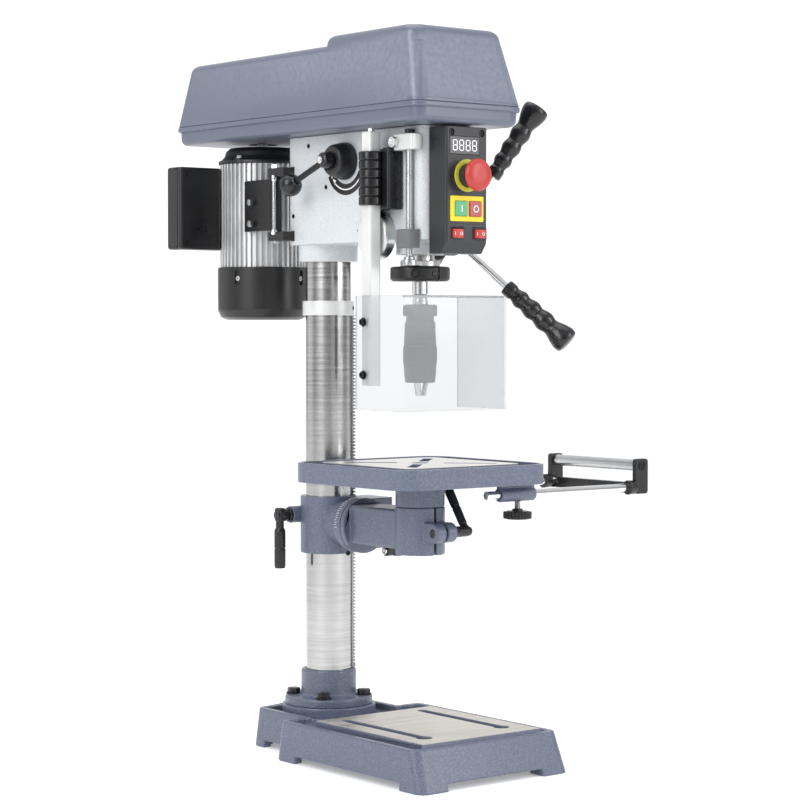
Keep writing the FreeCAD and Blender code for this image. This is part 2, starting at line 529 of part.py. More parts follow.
def make_arm():
    disc = cylinder("Y", "0", "tilt_face - air_gap - tilt_disc * 0.7", "tilt_height", "tilt_radius", "tilt_disc * 0.7")
    arm = rounded(span("-arm_half", "arm_half", "-throat + clamp_radius / 2", "tilt_face - air_gap - 2",
                       "arm_bottom", "arm_top"), "base_draft", lambda edge: True)
    clamp = cylinder("Z", "0", "-throat", "clamp_bottom", "clamp_radius", "clamp_top - clamp_bottom")
    ears = cylinder("X", "-ear_end", "ear_y", "ear_height", "ear_radius", "2 * ear_end")
    web = span("-ear_end", "ear_end", "ear_y", "-throat - clamp_radius / 2", "ear_height - ear_radius",
               "ear_height + ear_radius")
    bore = cylinder("Z", "0", "-throat", "clamp_bottom - reach", "stem_radius + fit_gap",
                    "clamp_top - clamp_bottom + 2 * reach")
    slot = span("-clamp_slot / 2", "clamp_slot / 2", "ear_y - ear_radius - reach", "-throat",
                "clamp_bottom - reach", "clamp_top + reach")
    hole = cylinder("X", "-ear_end - reach", "ear_y", "ear_height", "stud_radius + fit_gap", "2 * ear_end + 2 * reach")
    piece("table_arm", cut(fuse(disc, arm, clamp, ears, web), bore, slot, hole))
    stud = cylinder("X", "-ear_end + reach", "ear_y", "ear_height", "stud_radius", "ear_end + clamp_lever_x")
    hub = cone("X", "ear_end + air_gap", "ear_y", "ear_height", "stud_radius + 3", "clamp_lever_radius + 1",
               "clamp_lever_x - ear_end + clamp_lever_radius")
    lean = about_x(size("clamp_lever_angle"))
    lever = cone(lean, "clamp_lever_x", "ear_y", "ear_height", "clamp_lever_radius - 1.3", "clamp_lever_radius",
                 "clamp_lever_length")
    piece("table_clamp_lever", fuse(stud, hub, lever))


# ---- table and roller extension ----

def make_table():
    def square(half, corner, low, high):
        block = span(f"-({half})", half, f"-throat - ({half})", f"-throat + {half}", low, high)
        return rounded(block, corner)

    top = square("table_half", "table_round", "table_bottom", "table_top")
    trough = square("table_half - table_rim", "table_round - table_rim", "trough_floor", "table_top + reach")
    under = square("table_half - table_wall", "table_round - table_wall", "table_bottom - reach", "table_roof")
    pad = square("pad_half", "pad_round", "table_roof", "table_top")
    collar = cylinder("Z", "0", "-throat", "clamp_top + air_gap", "collar_radius", "table_roof - clamp_top")
    stem = cylinder("Z", "0", "-throat", "clamp_bottom + 2", "stem_radius", "table_roof - clamp_bottom")
    guides = []
    bores = []
    for side in ("-", ""):
        y = f"-throat {side or '+'} rod_spread"
        guides.append(cylinder("X", "guide_start", y, "rod_height", "guide_radius", "guide_end - guide_start"))
        guides.append(span("guide_start", "guide_end", f"{y} - guide_radius / 2", f"{y} + guide_radius / 2",
                           "rod_height", "table_roof + reach"))
        bores.append(cylinder("X", "guide_start - reach", y, "rod_height", "rod_radius + 2 * fit_gap",
                              "guide_end - guide_start + 2 * reach"))
    bores.append(cylinder("Z", "screw_x", "-throat - rod_spread", "rod_height - guide_radius - reach",
                          "thumb_stem + fit_gap", "guide_radius"))
    bores.append(cylinder("Z", "0", "-throat", "clamp_bottom", "table_hole", "table_top"))
    for quarter in range(4):
        slot = span("table_slot_start", "table_slot_end", "-table_slot_half", "table_slot_half",
                    "table_bottom", "table_top + reach")
        slot.Placement = Placement(Vector(), Rotation(Vector(0, 0, 1), 45 + 90 * quarter))
        out, across = math.cos(math.radians(45 + 90 * quarter)), math.sin(math.radians(45 + 90 * quarter))
        tie(slot, "Placement.Base.x", f"table_slot_start * {out:.12f} + table_slot_half * {across:.12f}")
        tie(slot, "Placement.Base.y", f"-throat + table_slot_start * {across:.12f} - table_slot_half * {out:.12f}")
        bores.append(slot)
    plate = fuse(cut(top, trough, under), pad, collar, stem, *guides)
    piece("table", cut(plate, *bores))


def make_extension():
    rods = []
    cheeks = []
    for side in ("-", ""):
        y = f"-throat {side or '+'} rod_spread"
        rods.append(cylinder("X", "rod_start", y, "rod_height", "rod_radius", "rod_end - rod_start"))
        low = "-throat - roller_half - air_gap - cheek_thick" if side else "-throat + roller_half + air_gap"
        cheek = rounded(box("roller_x - cheek_half", low, "cheek_bottom", "2 * cheek_half", "cheek_thick",
                            "cheek_top - cheek_bottom"), "base_draft",
                        lambda edge: abs(edge.Vertexes[0].Y - edge.Vertexes[-1].Y) > 1)
        seat = cylinder("X", "roller_x - cheek_half - reach", y, "rod_height", "rod_radius",
                        "rod_end - roller_x + cheek_half + reach")
        cheeks.append(cut(cheek, seat))
    piece("extension_rods", doc.addObject("Part::Compound", "Rods"))
    pieces[-1].Links = rods
    bar = span("roller_x - bar_half", "roller_x + bar_half", "-throat - rod_spread + rod_radius + reach",
               "-throat + rod_spread - rod_radius - reach", "rod_height - bar_half", "rod_height + bar_half")
    foot = span("roller_x - bar_half", "roller_x + bar_half", "-throat - roller_half - reach",
                "-throat + roller_half + reach", "cheek_bottom", "rod_height - rod_radius - air_gap")
    axle = cylinder("Y", "roller_x", "-throat - roller_half - cheek_thick", "roller_height", "axle_radius",
                    "2 * (roller_half + cheek_thick)")
    piece("extension_frame", fuse(*cheeks, bar, foot, axle))
    roller = turned([("axle_radius + fit_gap", "0"), ("roller_radius - 1", "0"), ("roller_radius", "1"),
                     ("roller_radius", "2 * roller_half - 1"), ("roller_radius - 1", "2 * roller_half"),
                     ("axle_radius + fit_gap", "2 * roller_half")],
                    "roller_x", "-throat - roller_half", "roller_height", "Y")
    piece("roller", roller)
    knob = turned([("0", "0"), ("thumb_radius - 2", "0"), ("thumb_radius", "2"),
                   ("thumb_radius", "thumb_top - thumb_bottom - 2"),
                   ("thumb_radius - 2", "thumb_top - thumb_bottom"), ("thumb_stem + 3", "thumb_top - thumb_bottom"),
                   ("thumb_stem", "thumb_top - thumb_bottom + 3"),
                   ("thumb_stem", "rod_height - rod_radius - air_gap - thumb_bottom"),
                   ("0", "rod_height - rod_radius - air_gap - thumb_bottom")],
                  "screw_x", "-throat - rod_spread", "thumb_bottom")
    piece("extension_lock_screw", knob)


# ---- head, quill and spindle ----

def make_head():
    block = rounded(span("-head_half", "head_half", "head_front", "head_rear", "head_bottom", "head_top"),
                    "head_round")
    collar = cylinder("Z", "0", "0", "head_collar_bottom", "head_collar_radius",
                      "head_bottom - head_collar_bottom + reach")
    house = cylinder("Z", "0", "-throat", "quill_house_bottom", "quill_house_radius",
                     "head_bottom - quill_house_bottom + reach")
    guide = span("stop_left", "-head_half + reach", "stop_front + 6", "stop_rear - 6", "guide_low", "guide_high")
    lugs = [span("pin_x - knuckle_radius", "-head_half / 2", "head_rear / 2", "pin_y + knuckle_radius", low,
                 f"{low} + lug_thick") for low in ("lug_low", "lug_high")]
    room = cylinder("Z", "pin_x", "pin_y", "lug_low + lug_thick", "knuckle_radius + reach",
                    "lug_high - lug_low - lug_thick")
    tools = [
        cylinder("Z", "0", "0", "head_collar_bottom - reach", "column_radius + fit_gap",
                 "column_top - head_collar_bottom + reach"),
        cylinder("Z", "0", "-throat", "quill_house_bottom - reach", "quill_radius + fit_gap",
                 "quill_bore_top - quill_house_bottom + reach"),
        cylinder("Z", "0", "-throat", "quill_bore_top - reach", "pulley_hub + fit_gap",
                 "head_top - quill_bore_top + 2 * reach"),
        cylinder("X", "-head_half - reach", feed_y(), "feed_height", "feed_shaft_radius + fit_gap",
                 "2 * head_half + 2 * reach"),
        cylinder("X", "-feed_pinion_half - air_gap", feed_y(), "feed_height", "feed_pocket",
                 "2 * (feed_pinion_half + air_gap)"),
        span("-head_half + cavity_wall", "head_half - cavity_wall", "cavity_front", "cavity_rear",
             "head_bottom + cavity_wall", "head_top + reach"),
        cylinder("X", "-head_half - reach", "speed_y", "speed_height", "feed_shaft_radius + fit_gap", "cavity_wall * 2"),
        cylinder("Z", "rod_x", "rod_y", "guide_low - reach", "depth_rod_radius + 2 * fit_gap",
                 "guide_high - guide_low + 2 * reach"),
        cylinder("Z", "pin_x", "pin_y", "lug_low - reach", "pin_radius", "lug_high - lug_low + lug_thick + 2 * reach"),
        room,
    ]
    piece("head_casting", cut(fuse(block, collar, house, guide, *lugs), *tools))
    piece("motor_hinge_pin", cylinder("Z", "pin_x", "pin_y", "lug_low - 3", "pin_radius",
                                      "lug_high - lug_low + lug_thick + 6"))


def feed_y():
    """The feed shaft's place behind the spindle, where its pinion meshes with the quill's teeth."""
    return "-throat + quill_radius - feed_module + feed_teeth * feed_module / 2"


def make_quill():
    # the pocket for each bearing is as deep as the bearing
    tube = Part.makeCylinder(size("quill_radius"), size("quill_top - quill_bottom"))
    bore = Part.makeCylinder(size("spindle_bore"), size("quill_top - quill_bottom"))
    tube = tube.cut(bore)
    for low in (0, size("quill_top - quill_bottom - bearing_height")):
        tube = tube.cut(Part.makeCylinder(size("bearing_radius"), size("bearing_height"), Vector(0, 0, low)))
    low, high = size("quill_house_bottom - quill_bottom - 12"), size("quill_top - quill_bottom - 14")
    tip = size("quill_radius")
    module = size("feed_module")
    blank = Part.makeBox(2 * tip, 2 * tip, high - low, Vector(tip - 2.25 * module, -tip, low))
    teeth = rack_bar(tip - 3 * module, tip, 2 * tip, low - 9, high + 9, module, size("feed_height - quill_bottom"))
    tube = tube.cut(blank.cut(teeth))
    tube.Placement = Placement(Vector(0, size("-throat"), size("quill_bottom")), Rotation(Vector(0, 0, 1), 90))
    piece("quill", shaped("quill", tube))
    rings = []
    for low in ("quill_bottom", "quill_top - bearing_height"):
        outer = cylinder("Z", "0", "-throat", low, "bearing_radius", "bearing_height")
        inner = cylinder("Z", "0", "-throat", f"{low} - reach", "spindle_radius + fit_gap",
                         "bearing_height + 2 * reach")
        rings.append(cut(outer, inner))
    piece("spindle_bearings", doc.addObject("Part::Compound", "Rings"))
    pieces[-1].Links = rings
    piece("spindle", turned([("0", "nose_bottom"), ("nose_radius", "nose_bottom"),
                             ("nose_radius", "chuck_top"), ("shoulder_radius", "chuck_top"),
                             ("shoulder_radius", "quill_bottom - air_gap"),
                             ("spindle_radius", "quill_bottom - air_gap"), ("spindle_radius", "spindle_top - 2"),
                             ("spindle_radius - 2", "spindle_top"), ("0", "spindle_top")], y="-throat"))
    piece("depth_collar", turned([("quill_radius + fit_gap", "collar_bottom"), ("collar_outer - 2", "collar_bottom"),
                                  ("collar_outer", "collar_bottom + 2"), ("collar_outer", "collar_top - 2"),
                                  ("collar_outer - 2", "collar_top"), ("quill_radius + fit_gap", "collar_top")],
                                 y="-throat"))
    blank = Part.makeBox(size("hypot(rod_x; rod_y + throat)"), size("2 * plate_arm_half"),
                         size("plate_high - collar_top"), Vector(0, -size("plate_arm_half"), 0))
    angle = math.degrees(math.atan2(size("rod_y + throat"), size("rod_x")))
    blank.Placement = Placement(Vector(0, size("-throat"), size("collar_top")), Rotation(Vector(0, 0, 1), angle))
    arm = shaped("RodArm", blank)
    hub = cylinder("Z", "0", "-throat", "collar_top", "plate_radius", "plate_high - collar_top")
    end = cylinder("Z", "rod_x", "rod_y", "collar_top", "plate_arm_half + 2", "plate_high - collar_top")
    rod = cylinder("Z", "rod_x", "rod_y", "collar_top", "depth_rod_radius", "depth_rod_top - collar_top")
    nut = cylinder("Z", "rod_x", "rod_y", "plate_high", "depth_rod_radius + 3", "4")
    cap = cylinder("Z", "rod_x", "rod_y", "stop_high + 2", "cap_radius", "depth_rod_top - stop_high")
    bore = cylinder("Z", "0", "-throat", "collar_top - reach", "quill_radius + fit_gap",
                    "plate_high - collar_top + 2 * reach")
    piece("depth_rod", cut(fuse(arm, hub, end, rod, nut, cap), bore))
    block = rounded(span("stop_left", "-head_half - 2 * air_gap", "stop_front", "stop_rear", "stop_low",
                         "stop_high"), "base_draft")
    rod_bore = cylinder("Z", "rod_x", "rod_y", "stop_low - reach", "depth_rod_radius + 2 * fit_gap",
                        "stop_high - stop_low + 2 * reach")
    screw_bore = cylinder("X", "stop_left - reach", "stop_screw_y", "stop_low + 10", "stop_screw_stem + fit_gap",
                          "9 + reach")
    piece("depth_stop", cut(block, rod_bore, screw_bore))
    head = cylinder("X", "stop_left - 7", "stop_screw_y", "stop_low + 10", "stop_screw_radius", "7 - air_gap")
    stem = cylinder("X", "stop_left - 2", "stop_screw_y", "stop_low + 10", "stop_screw_stem", "10")
    piece("depth_stop_screw", fuse(head, stem))


def make_chuck():
    core = turned([("0", "sleeve_low + 3"), ("chuck_core", "sleeve_low + 3"), ("chuck_core", "chuck_ring_bottom"),
                   ("chuck_radius", "chuck_ring_bottom"), ("chuck_radius", "chuck_top - 2"),
                   ("chuck_radius - 2", "chuck_top"), ("nose_radius", "chuck_top"), ("nose_radius", "nose_bottom"),
                   ("0", "nose_bottom")], y="-throat")
    bores = []
    for jaw in range(int(SIZES["jaw_count"])):
        bores.append(jaw_rod(jaw, size("jaw_radius + fit_gap"), size("jaw_length + 16"), -2))
    throat_bore = cylinder("Z", "0", "-throat", "sleeve_low", "jaw_offset", "22")
    piece("chuck_body", cut(core, *[shaped("JawBore", bore) for bore in bores], throat_bore))
    piece("chuck_sleeve", turned([("chuck_core + fit_gap", "sleeve_low + 3"), ("chuck_core + fit_gap", "sleeve_high"),
                                  ("chuck_radius - 2", "sleeve_high"), ("chuck_radius - 1.5", "sleeve_high - 14"),
                                  ("chuck_radius", "sleeve_high - 16"), ("chuck_radius", "sleeve_high - 54"),
                                  ("chuck_radius - 1", "sleeve_high - 56"), ("chuck_radius - 1", "sleeve_low + 12"),
                                  ("nose_cone_radius + 5.6", "sleeve_low + 3")], y="-throat"))
    for jaw in range(int(SIZES["jaw_count"])):
        rod = jaw_rod(jaw, size("jaw_radius"), size("jaw_length"), 0)
        floor = Part.makeBox(80, 80, 20, Vector(-40, size("-throat") - 40, size("jaw_tip") - 20))
        piece(f"chuck_jaw_{jaw + 1}", shaped(f"chuck_jaw_{jaw + 1}", rod.cut(floor)))


def jaw_rod(jaw, radius, length, start):
    """A round rod along the line that a jaw slides on, from its tip up and outwards."""
    around = math.radians(90 + 360 / SIZES["jaw_count"] * jaw)
    lean = math.radians(size("jaw_lean"))
    out = Vector(math.cos(around), math.sin(around), 0)
    along = out * math.sin(lean) + Vector(0, 0, math.cos(lean))
    tip = Vector(0, size("-throat"), size("jaw_tip")) + out * size("jaw_offset")
    return Part.makeCylinder(radius, length, tip + along * start, along)


def make_feed():
    gear_shape = gear(SIZES["feed_teeth"], size("feed_module"), size("2 * feed_pinion_half"))
    middle = Vector(0, size(feed_y()), size("feed_height"))
    # a tooth points at the quill, towards -Y
    gear_shape.Placement = Placement(middle, Rotation(Vector(0, 1, 0), 90).multiply(Rotation(Vector(0, 0, 1), -90)))
    shaft = cylinder("X", "-feed_hub_start - spring_cap_depth + 6", feed_y(), "feed_height", "feed_shaft_radius",
                     "2 * feed_hub_start + spring_cap_depth")
    slim = cylinder("X", "-feed_pinion_half - air_gap", feed_y(), "feed_height", "feed_shaft_radius + reach",
                    "2 * (feed_pinion_half + air_gap)")
    core = cylinder("X", "-feed_pinion_half - reach", feed_y(), "feed_height",
                    "feed_teeth * feed_module / 2 - 1.2 * feed_module", "2 * (feed_pinion_half + reach)")
    teeth = shaped("FeedTeeth", gear_shape)
    pinion_shaft = fuse(cut(shaft, slim), core, teeth)
    hub_solid = cylinder("X", "feed_hub_start + air_gap", feed_y(), "feed_height", "feed_hub_radius",
                         "feed_hub_end - feed_hub_start - air_gap")
    shaft_seat = cylinder("X", "feed_hub_start", feed_y(), "feed_height", "feed_shaft_radius",
                          "6")
    spokes = []
    grips = []
    holes = []
    for n in range(3):
        start, along = spoke_line(n)
        spokes.append(shaped("SpokeRod", Part.makeCylinder(size("spoke_radius"), size("spoke_length"),
                                                           start + along * 8, along)))
        holes.append(shaped("SpokeHole", Part.makeCylinder(size("spoke_radius"), size("spoke_length"),
                                                           start + along * 8, along)))
        grips.append(shaped("GripBody", grip_shape(start, along)))
    piece("feed_hub", doc.addObject("Part::Compound", "Hub"))
    pieces[-1].Links = [pinion_shaft, cut(hub_solid, shaft_seat, *holes)]
    for name, parts in (("feed_spokes", spokes), ("feed_grips", grips)):
        piece(name, doc.addObject("Part::Compound", "Set"))
        pieces[-1].Links = parts


def spoke_line(n):
    """Where a feed spoke leaves the hub's axis, and its direction, flared away from the head."""
    turn = math.radians(size("first_spoke") + 120 * n)
    flare = math.radians(size("spoke_flare"))
    start = Vector(size("feed_centre"), size(feed_y()), size("feed_height"))
    along = Vector(math.sin(flare), -math.cos(flare) * math.cos(turn), math.cos(flare) * math.sin(turn))
    return start, along


def grip_shape(start, along):
    """A plain wavy grip: a string of swellings and a bulb at the end, bored for its spoke."""
    length, radius = size("grip_length"), size("grip_radius")
    points = []
    steps = 24
    for k in range(steps + 1):
        share = k / steps
        wave = math.sin(math.pi * 5 * share) ** 2
        swell = size("grip_end_radius - grip_radius") * max(0, (share - 0.7) / 0.3)
        points.append(Vector(radius - 2 + 2 * wave + swell, 0, share * length))
    outline = Part.BSplineCurve()
    outline.interpolate(points)
    top = points[-1]
    edges = [outline.toShape(), Part.makeLine(top, Vector(0, 0, top.z)), Part.makeLine(Vector(0, 0, top.z), Vector()),
             Part.makeLine(Vector(), points[0])]
    solid = Part.Face(Part.Wire(edges)).revolve(Vector(), Vector(0, 0, 1), 360)
    bore = Part.makeCylinder(size("spoke_radius"), size("spoke_length + 8 - grip_start"))
    solid = Part.makeSolid(solid.Shells[0]) if solid.ShapeType != "Solid" else solid
    shape = solid.cut(bore)
    shape.Placement = Placement(start + along * size("grip_start"), Rotation(Vector(0, 0, 1), along))
    return shape


def make_spring():
    cap = turned([("spring_cap_radius - spring_cap_wall", "0"), ("spring_cap_radius", "0"),
                  ("spring_cap_radius", "spring_cap_depth - 3"), ("spring_cap_radius - 3", "spring_cap_depth"),
                  ("0", "spring_cap_depth"), ("0", "spring_cap_depth - spring_cap_wall"),
                  ("spring_cap_radius - spring_cap_wall", "spring_cap_depth - spring_cap_wall")],
                 "-head_half", feed_y(), "feed_height", Rotation(Vector(0, 1, 0), -90))
    piece("return_spring_cap", cap)
    outer = cylinder("X", "-head_half - 2 - 2 * spring_half", feed_y(), "feed_height", "spring_cap_radius - spring_cap_wall - air_gap",
                     "2 * spring_half")
    inner = cylinder("X", "-head_half - 3 - 2 * spring_half", feed_y(), "feed_height", "spring_inner",
                     "2 * spring_half + 2")
    piece("return_spring", cut(outer, inner))


# ---- belt drive and motor ----

def pulley_profile(floor, bore, hub, low, top):
    """Half section of a V pulley centred on the belt, with a hub that runs from low to top."""
    lip = f"{floor} + groove_depth"
    open_half = "(groove_half + groove_depth * groove_slope)"
    mid = "pulley_mid"
    return [(bore, low), (hub, low), (hub, f"{mid} - {open_half} - flange_lip"),
            (lip, f"{mid} - {open_half} - flange_lip"), (lip, f"{mid} - {open_half}"),
            (floor, f"{mid} - groove_half"), (floor, f"{mid} + groove_half"), (lip, f"{mid} + {open_half}"),
            (lip, f"{mid} + {open_half} + flange_lip"), (hub, f"{mid} + {open_half} + flange_lip"),
            (hub, top), (bore, top)]


def make_drive():
    piece("spindle_pulley", turned(pulley_profile("groove_floor", "spindle_radius + fit_gap", "pulley_hub",
                                                  "pulley_hub_bottom", "pulley_mid + 22"), y="-throat"))
    piece("motor_pulley", turned(pulley_profile("motor_groove_floor", "shaft_radius", "pulley_hub",
                                                "tray_bottom + tray_wall + reach", "pulley_mid + 20"), y="motor_y"))
    piece("drive_belt", shaped("drive_belt", belt_loop()))
    base = cone(Rotation(Vector(0, 1, 0), -90), "-head_half - air_gap", "speed_y", "speed_height",
                "speed_base_radius", "speed_tip_radius", "speed_base_depth")
    hub = cylinder("X", "-head_half - speed_base_depth - speed_hub_depth", "speed_y", "speed_height",
                   "speed_hub_radius", "speed_hub_depth + reach")
    lean = about_x(-size("speed_arm_drop"))
    arm_x = "-head_half - speed_base_depth - speed_hub_depth / 2"
    arm = cylinder(lean, arm_x, "speed_y", "speed_height", "speed_arm_radius", "speed_arm_length")
    knob = ball(arm_x, "speed_y + speed_arm_length * cos(speed_arm_drop)",
                "speed_height - speed_arm_length * sin(speed_arm_drop)", "speed_ball")
    shaft = cylinder("X", "-head_half - reach", "speed_y", "speed_height", "feed_shaft_radius", "cavity_wall * 2")
    piece("speed_lever", fuse(base, hub, arm, knob, shaft))


def belt_loop():
    """A V belt swept around the two grooves."""
    big, small = size("groove_floor + belt_gap + belt_thick / 2"), size("motor_groove_floor + belt_gap + belt_thick / 2")
    front, rear, mid = size("-throat"), size("motor_y"), size("pulley_mid")
    lean = math.asin((big - small) / (rear - front))

    def around(radius, centre, angle):
        return Vector(radius * math.cos(angle), centre + radius * math.sin(angle), mid)

    right_big, left_big = around(big, front, lean), around(big, front, math.pi - lean)
    right_small, left_small = around(small, rear, lean), around(small, rear, math.pi - lean)
    half, thick = size("groove_half - 0.4"), size("belt_thick")
    wide = half + thick * size("groove_slope")

    def section(centre, across):
        corners = [centre + across * out + Vector(0, 0, up)
                   for out, up in ((-thick / 2, -half), (thick / 2, -wide), (thick / 2, wide), (-thick / 2, half))]
        return Part.Face(Part.makePolygon(corners + corners[:1]))

    solids = []
    for side, start, end in ((1, right_big, right_small), (-1, left_big, left_small)):
        across = Vector(side * math.cos(lean), math.sin(lean), 0)
        solids.append(section(start, across).extrude(end - start))
    across = Vector(math.cos(lean), math.sin(lean), 0)
    half_turn, tilt = 180, 2 * math.degrees(lean)
    up = Vector(0, 0, 1)
    solids.append(section(right_big, across).revolve(Vector(0, front, mid), up, -half_turn - tilt))
    solids.append(section(right_small, across).revolve(Vector(0, rear, mid), up, half_turn - tilt))
    return solids[0].fuse(solids[1:]).removeSplitter()


def make_motor():
    shell = cylinder("Z", "0", "motor_y", "motor_low", "motor_radius", "motor_high - motor_low")
    bell = cone("Z", "0", "motor_y", "motor_high", "motor_radius", "bell_radius", "bell_top - motor_high")
    foot = span("pin_x + plate_thick / 2", "-motor_radius / 3", "foot_front", "motor_y - 8", "lug_low + lug_thick + 4",
                "lug_high - 4")
    stator = cylinder("Z", "0", "motor_y", "rotor_low - 2", "stator_bore", "rotor_high - rotor_low + 4")
    bore = cylinder("Z", "0", "motor_y", "motor_low - reach", "shaft_radius + fit_gap", "bell_top - motor_low + 2 * reach")
    piece("motor_body", cut(fuse(shell, bell, foot), stator, bore))
    wall = "fan_cover_wall"
    cover = turned([("0", "fan_cover_low"), ("fan_cover_radius - fan_cover_chamfer", "fan_cover_low"),
                    ("fan_cover_radius", "fan_cover_low + fan_cover_chamfer"), ("fan_cover_radius", "motor_low"),
                    (f"fan_cover_radius - {wall}", "motor_low"),
                    (f"fan_cover_radius - {wall}", f"fan_cover_low + fan_cover_chamfer"),
                    (f"fan_cover_radius - {wall} - fan_cover_chamfer + 1", f"fan_cover_low + {wall}"),
                    ("0", f"fan_cover_low + {wall}")], y="motor_y")
    piece("fan_cover", cover)
    shaft = cylinder("Z", "0", "motor_y", "shaft_low", "shaft_radius", "shaft_high - shaft_low")
    rotor = cylinder("Z", "0", "motor_y", "rotor_low", "rotor_radius", "rotor_high - rotor_low")
    fan = cylinder("Z", "0", "motor_y", "fan_low", "fan_radius", "fan_high - fan_low")
    piece("motor_rotor", fuse(shaft, rotor, fan))
    box_outer = rounded(span("capacitor_left", "capacitor_right", "capacitor_front", "capacitor_rear",
                             "capacitor_low", "capacitor_high"), "base_draft", lambda edge: True)
    saddle = cylinder("Z", "0", "motor_y", "capacitor_low - reach", "motor_radius + fit_gap",
                      "capacitor_high - capacitor_low + 2 * reach")
    piece("capacitor_box", cut(box_outer, saddle))
    knuckle = cylinder("Z", "pin_x", "pin_y", "lug_low + lug_thick + air_gap", "knuckle_radius",
                       "lug_high - lug_low - lug_thick - 2 * air_gap")
    plate = span("pin_x - plate_thick / 2", "pin_x + plate_thick / 2", "pin_y", "motor_plate_end",
                 "lug_low + lug_thick + 2", "lug_high - 2")
    bore = cylinder("Z", "pin_x", "pin_y", "lug_low", "pin_radius + fit_gap", "lug_high - lug_low + lug_thick")
    piece("motor_plate", cut(fuse(knuckle, plate), bore))


# ---- belt cover ----

def make_cover():
    def block(inset, low, high):
        return rounded(span(f"-cover_half + {inset}", f"cover_half - ({inset})", f"cover_front + {inset}",
                            f"cover_rear - ({inset})", low, high), "cover_round")

    pan = fuse(block("tray_inset", "tray_bottom", "tray_top"), block("0", "tray_top - rim_height", "tray_top"))
    room = block("tray_inset + tray_wall", "tray_bottom + tray_wall", "tray_top + reach")
    holes = [cylinder("Z", "0", "-throat", "tray_bottom - reach", "pulley_hub + fit_gap", "tray_wall + 2 * reach"),
             cylinder("Z", "0", "motor_y", "tray_bottom - reach", "shaft_hole", "tray_wall + 2 * reach")]
    leaves = []
    for x in ("-hinge_x", "hinge_x"):
        leaves.append(cylinder("X", f"{x} - hinge_half", "hinge_y", "hinge_height", "hinge_radius", "hinge_half - air_gap / 2"))
        leaves.append(span(f"{x} - hinge_half", f"{x} - air_gap / 2", "cover_rear - reach", "hinge_y",
                           "tray_top - rim_height", "hinge_height - 1"))
    pins = [cylinder("X", f"{x} - hinge_half", "hinge_y", "hinge_height", "hinge_radius / 2", "2 * hinge_half")
            for x in ("-hinge_x", "hinge_x")]
    tray = cut(fuse(pan, *leaves), room, *holes)
    piece("pulley_tray", fuse(tray, *pins))

    def hood(inset, low):
        # the lower rear part keeps the slopes of the front part, so its insets shrink with its height
        share = f"((lid_rear_top - {inset} - ({low})) / (lid_top - {inset} - ({low})))"
        rear = drafted(f"cover_half - 1 - {inset}", f"cover_front + 1 + {inset}", f"cover_rear - 1 - {inset}", low,
                       f"lid_rear_top - {inset}", f"lid_side_inset * {share}", f"lid_front_inset * {share}",
                       f"lid_rear_inset * {share}")
        front = drafted(f"cover_half - 1 - {inset}", f"cover_front + 1 + {inset}", f"lid_step - {inset}", low,
                        f"lid_top - {inset}", "lid_side_inset", "lid_front_inset", "lid_step_inset")
        return rounded(fuse(rear, front), "cover_round")

    knuckles = []
    for x in ("-hinge_x", "hinge_x"):
        knuckles.append(cylinder("X", f"{x} + air_gap / 2", "hinge_y", "hinge_height", "hinge_radius",
                                 "hinge_half - air_gap / 2"))
        knuckles.append(span(f"{x} + air_gap / 2", f"{x} + hinge_half", "cover_rear - 3", "hinge_y",
                             "hinge_height", "hinge_height + 4"))
    pin_bores = [cylinder("X", f"{x} - hinge_half", "hinge_y", "hinge_height", "hinge_radius / 2 + fit_gap",
                          "2 * hinge_half + reach") for x in ("-hinge_x", "hinge_x")]
    piece("cover_lid", cut(fuse(hood("0", "tray_top + air_gap"), *knuckles), hood("lid_wall", "tray_top"),
                           *pin_bores))


# ---- control box ----

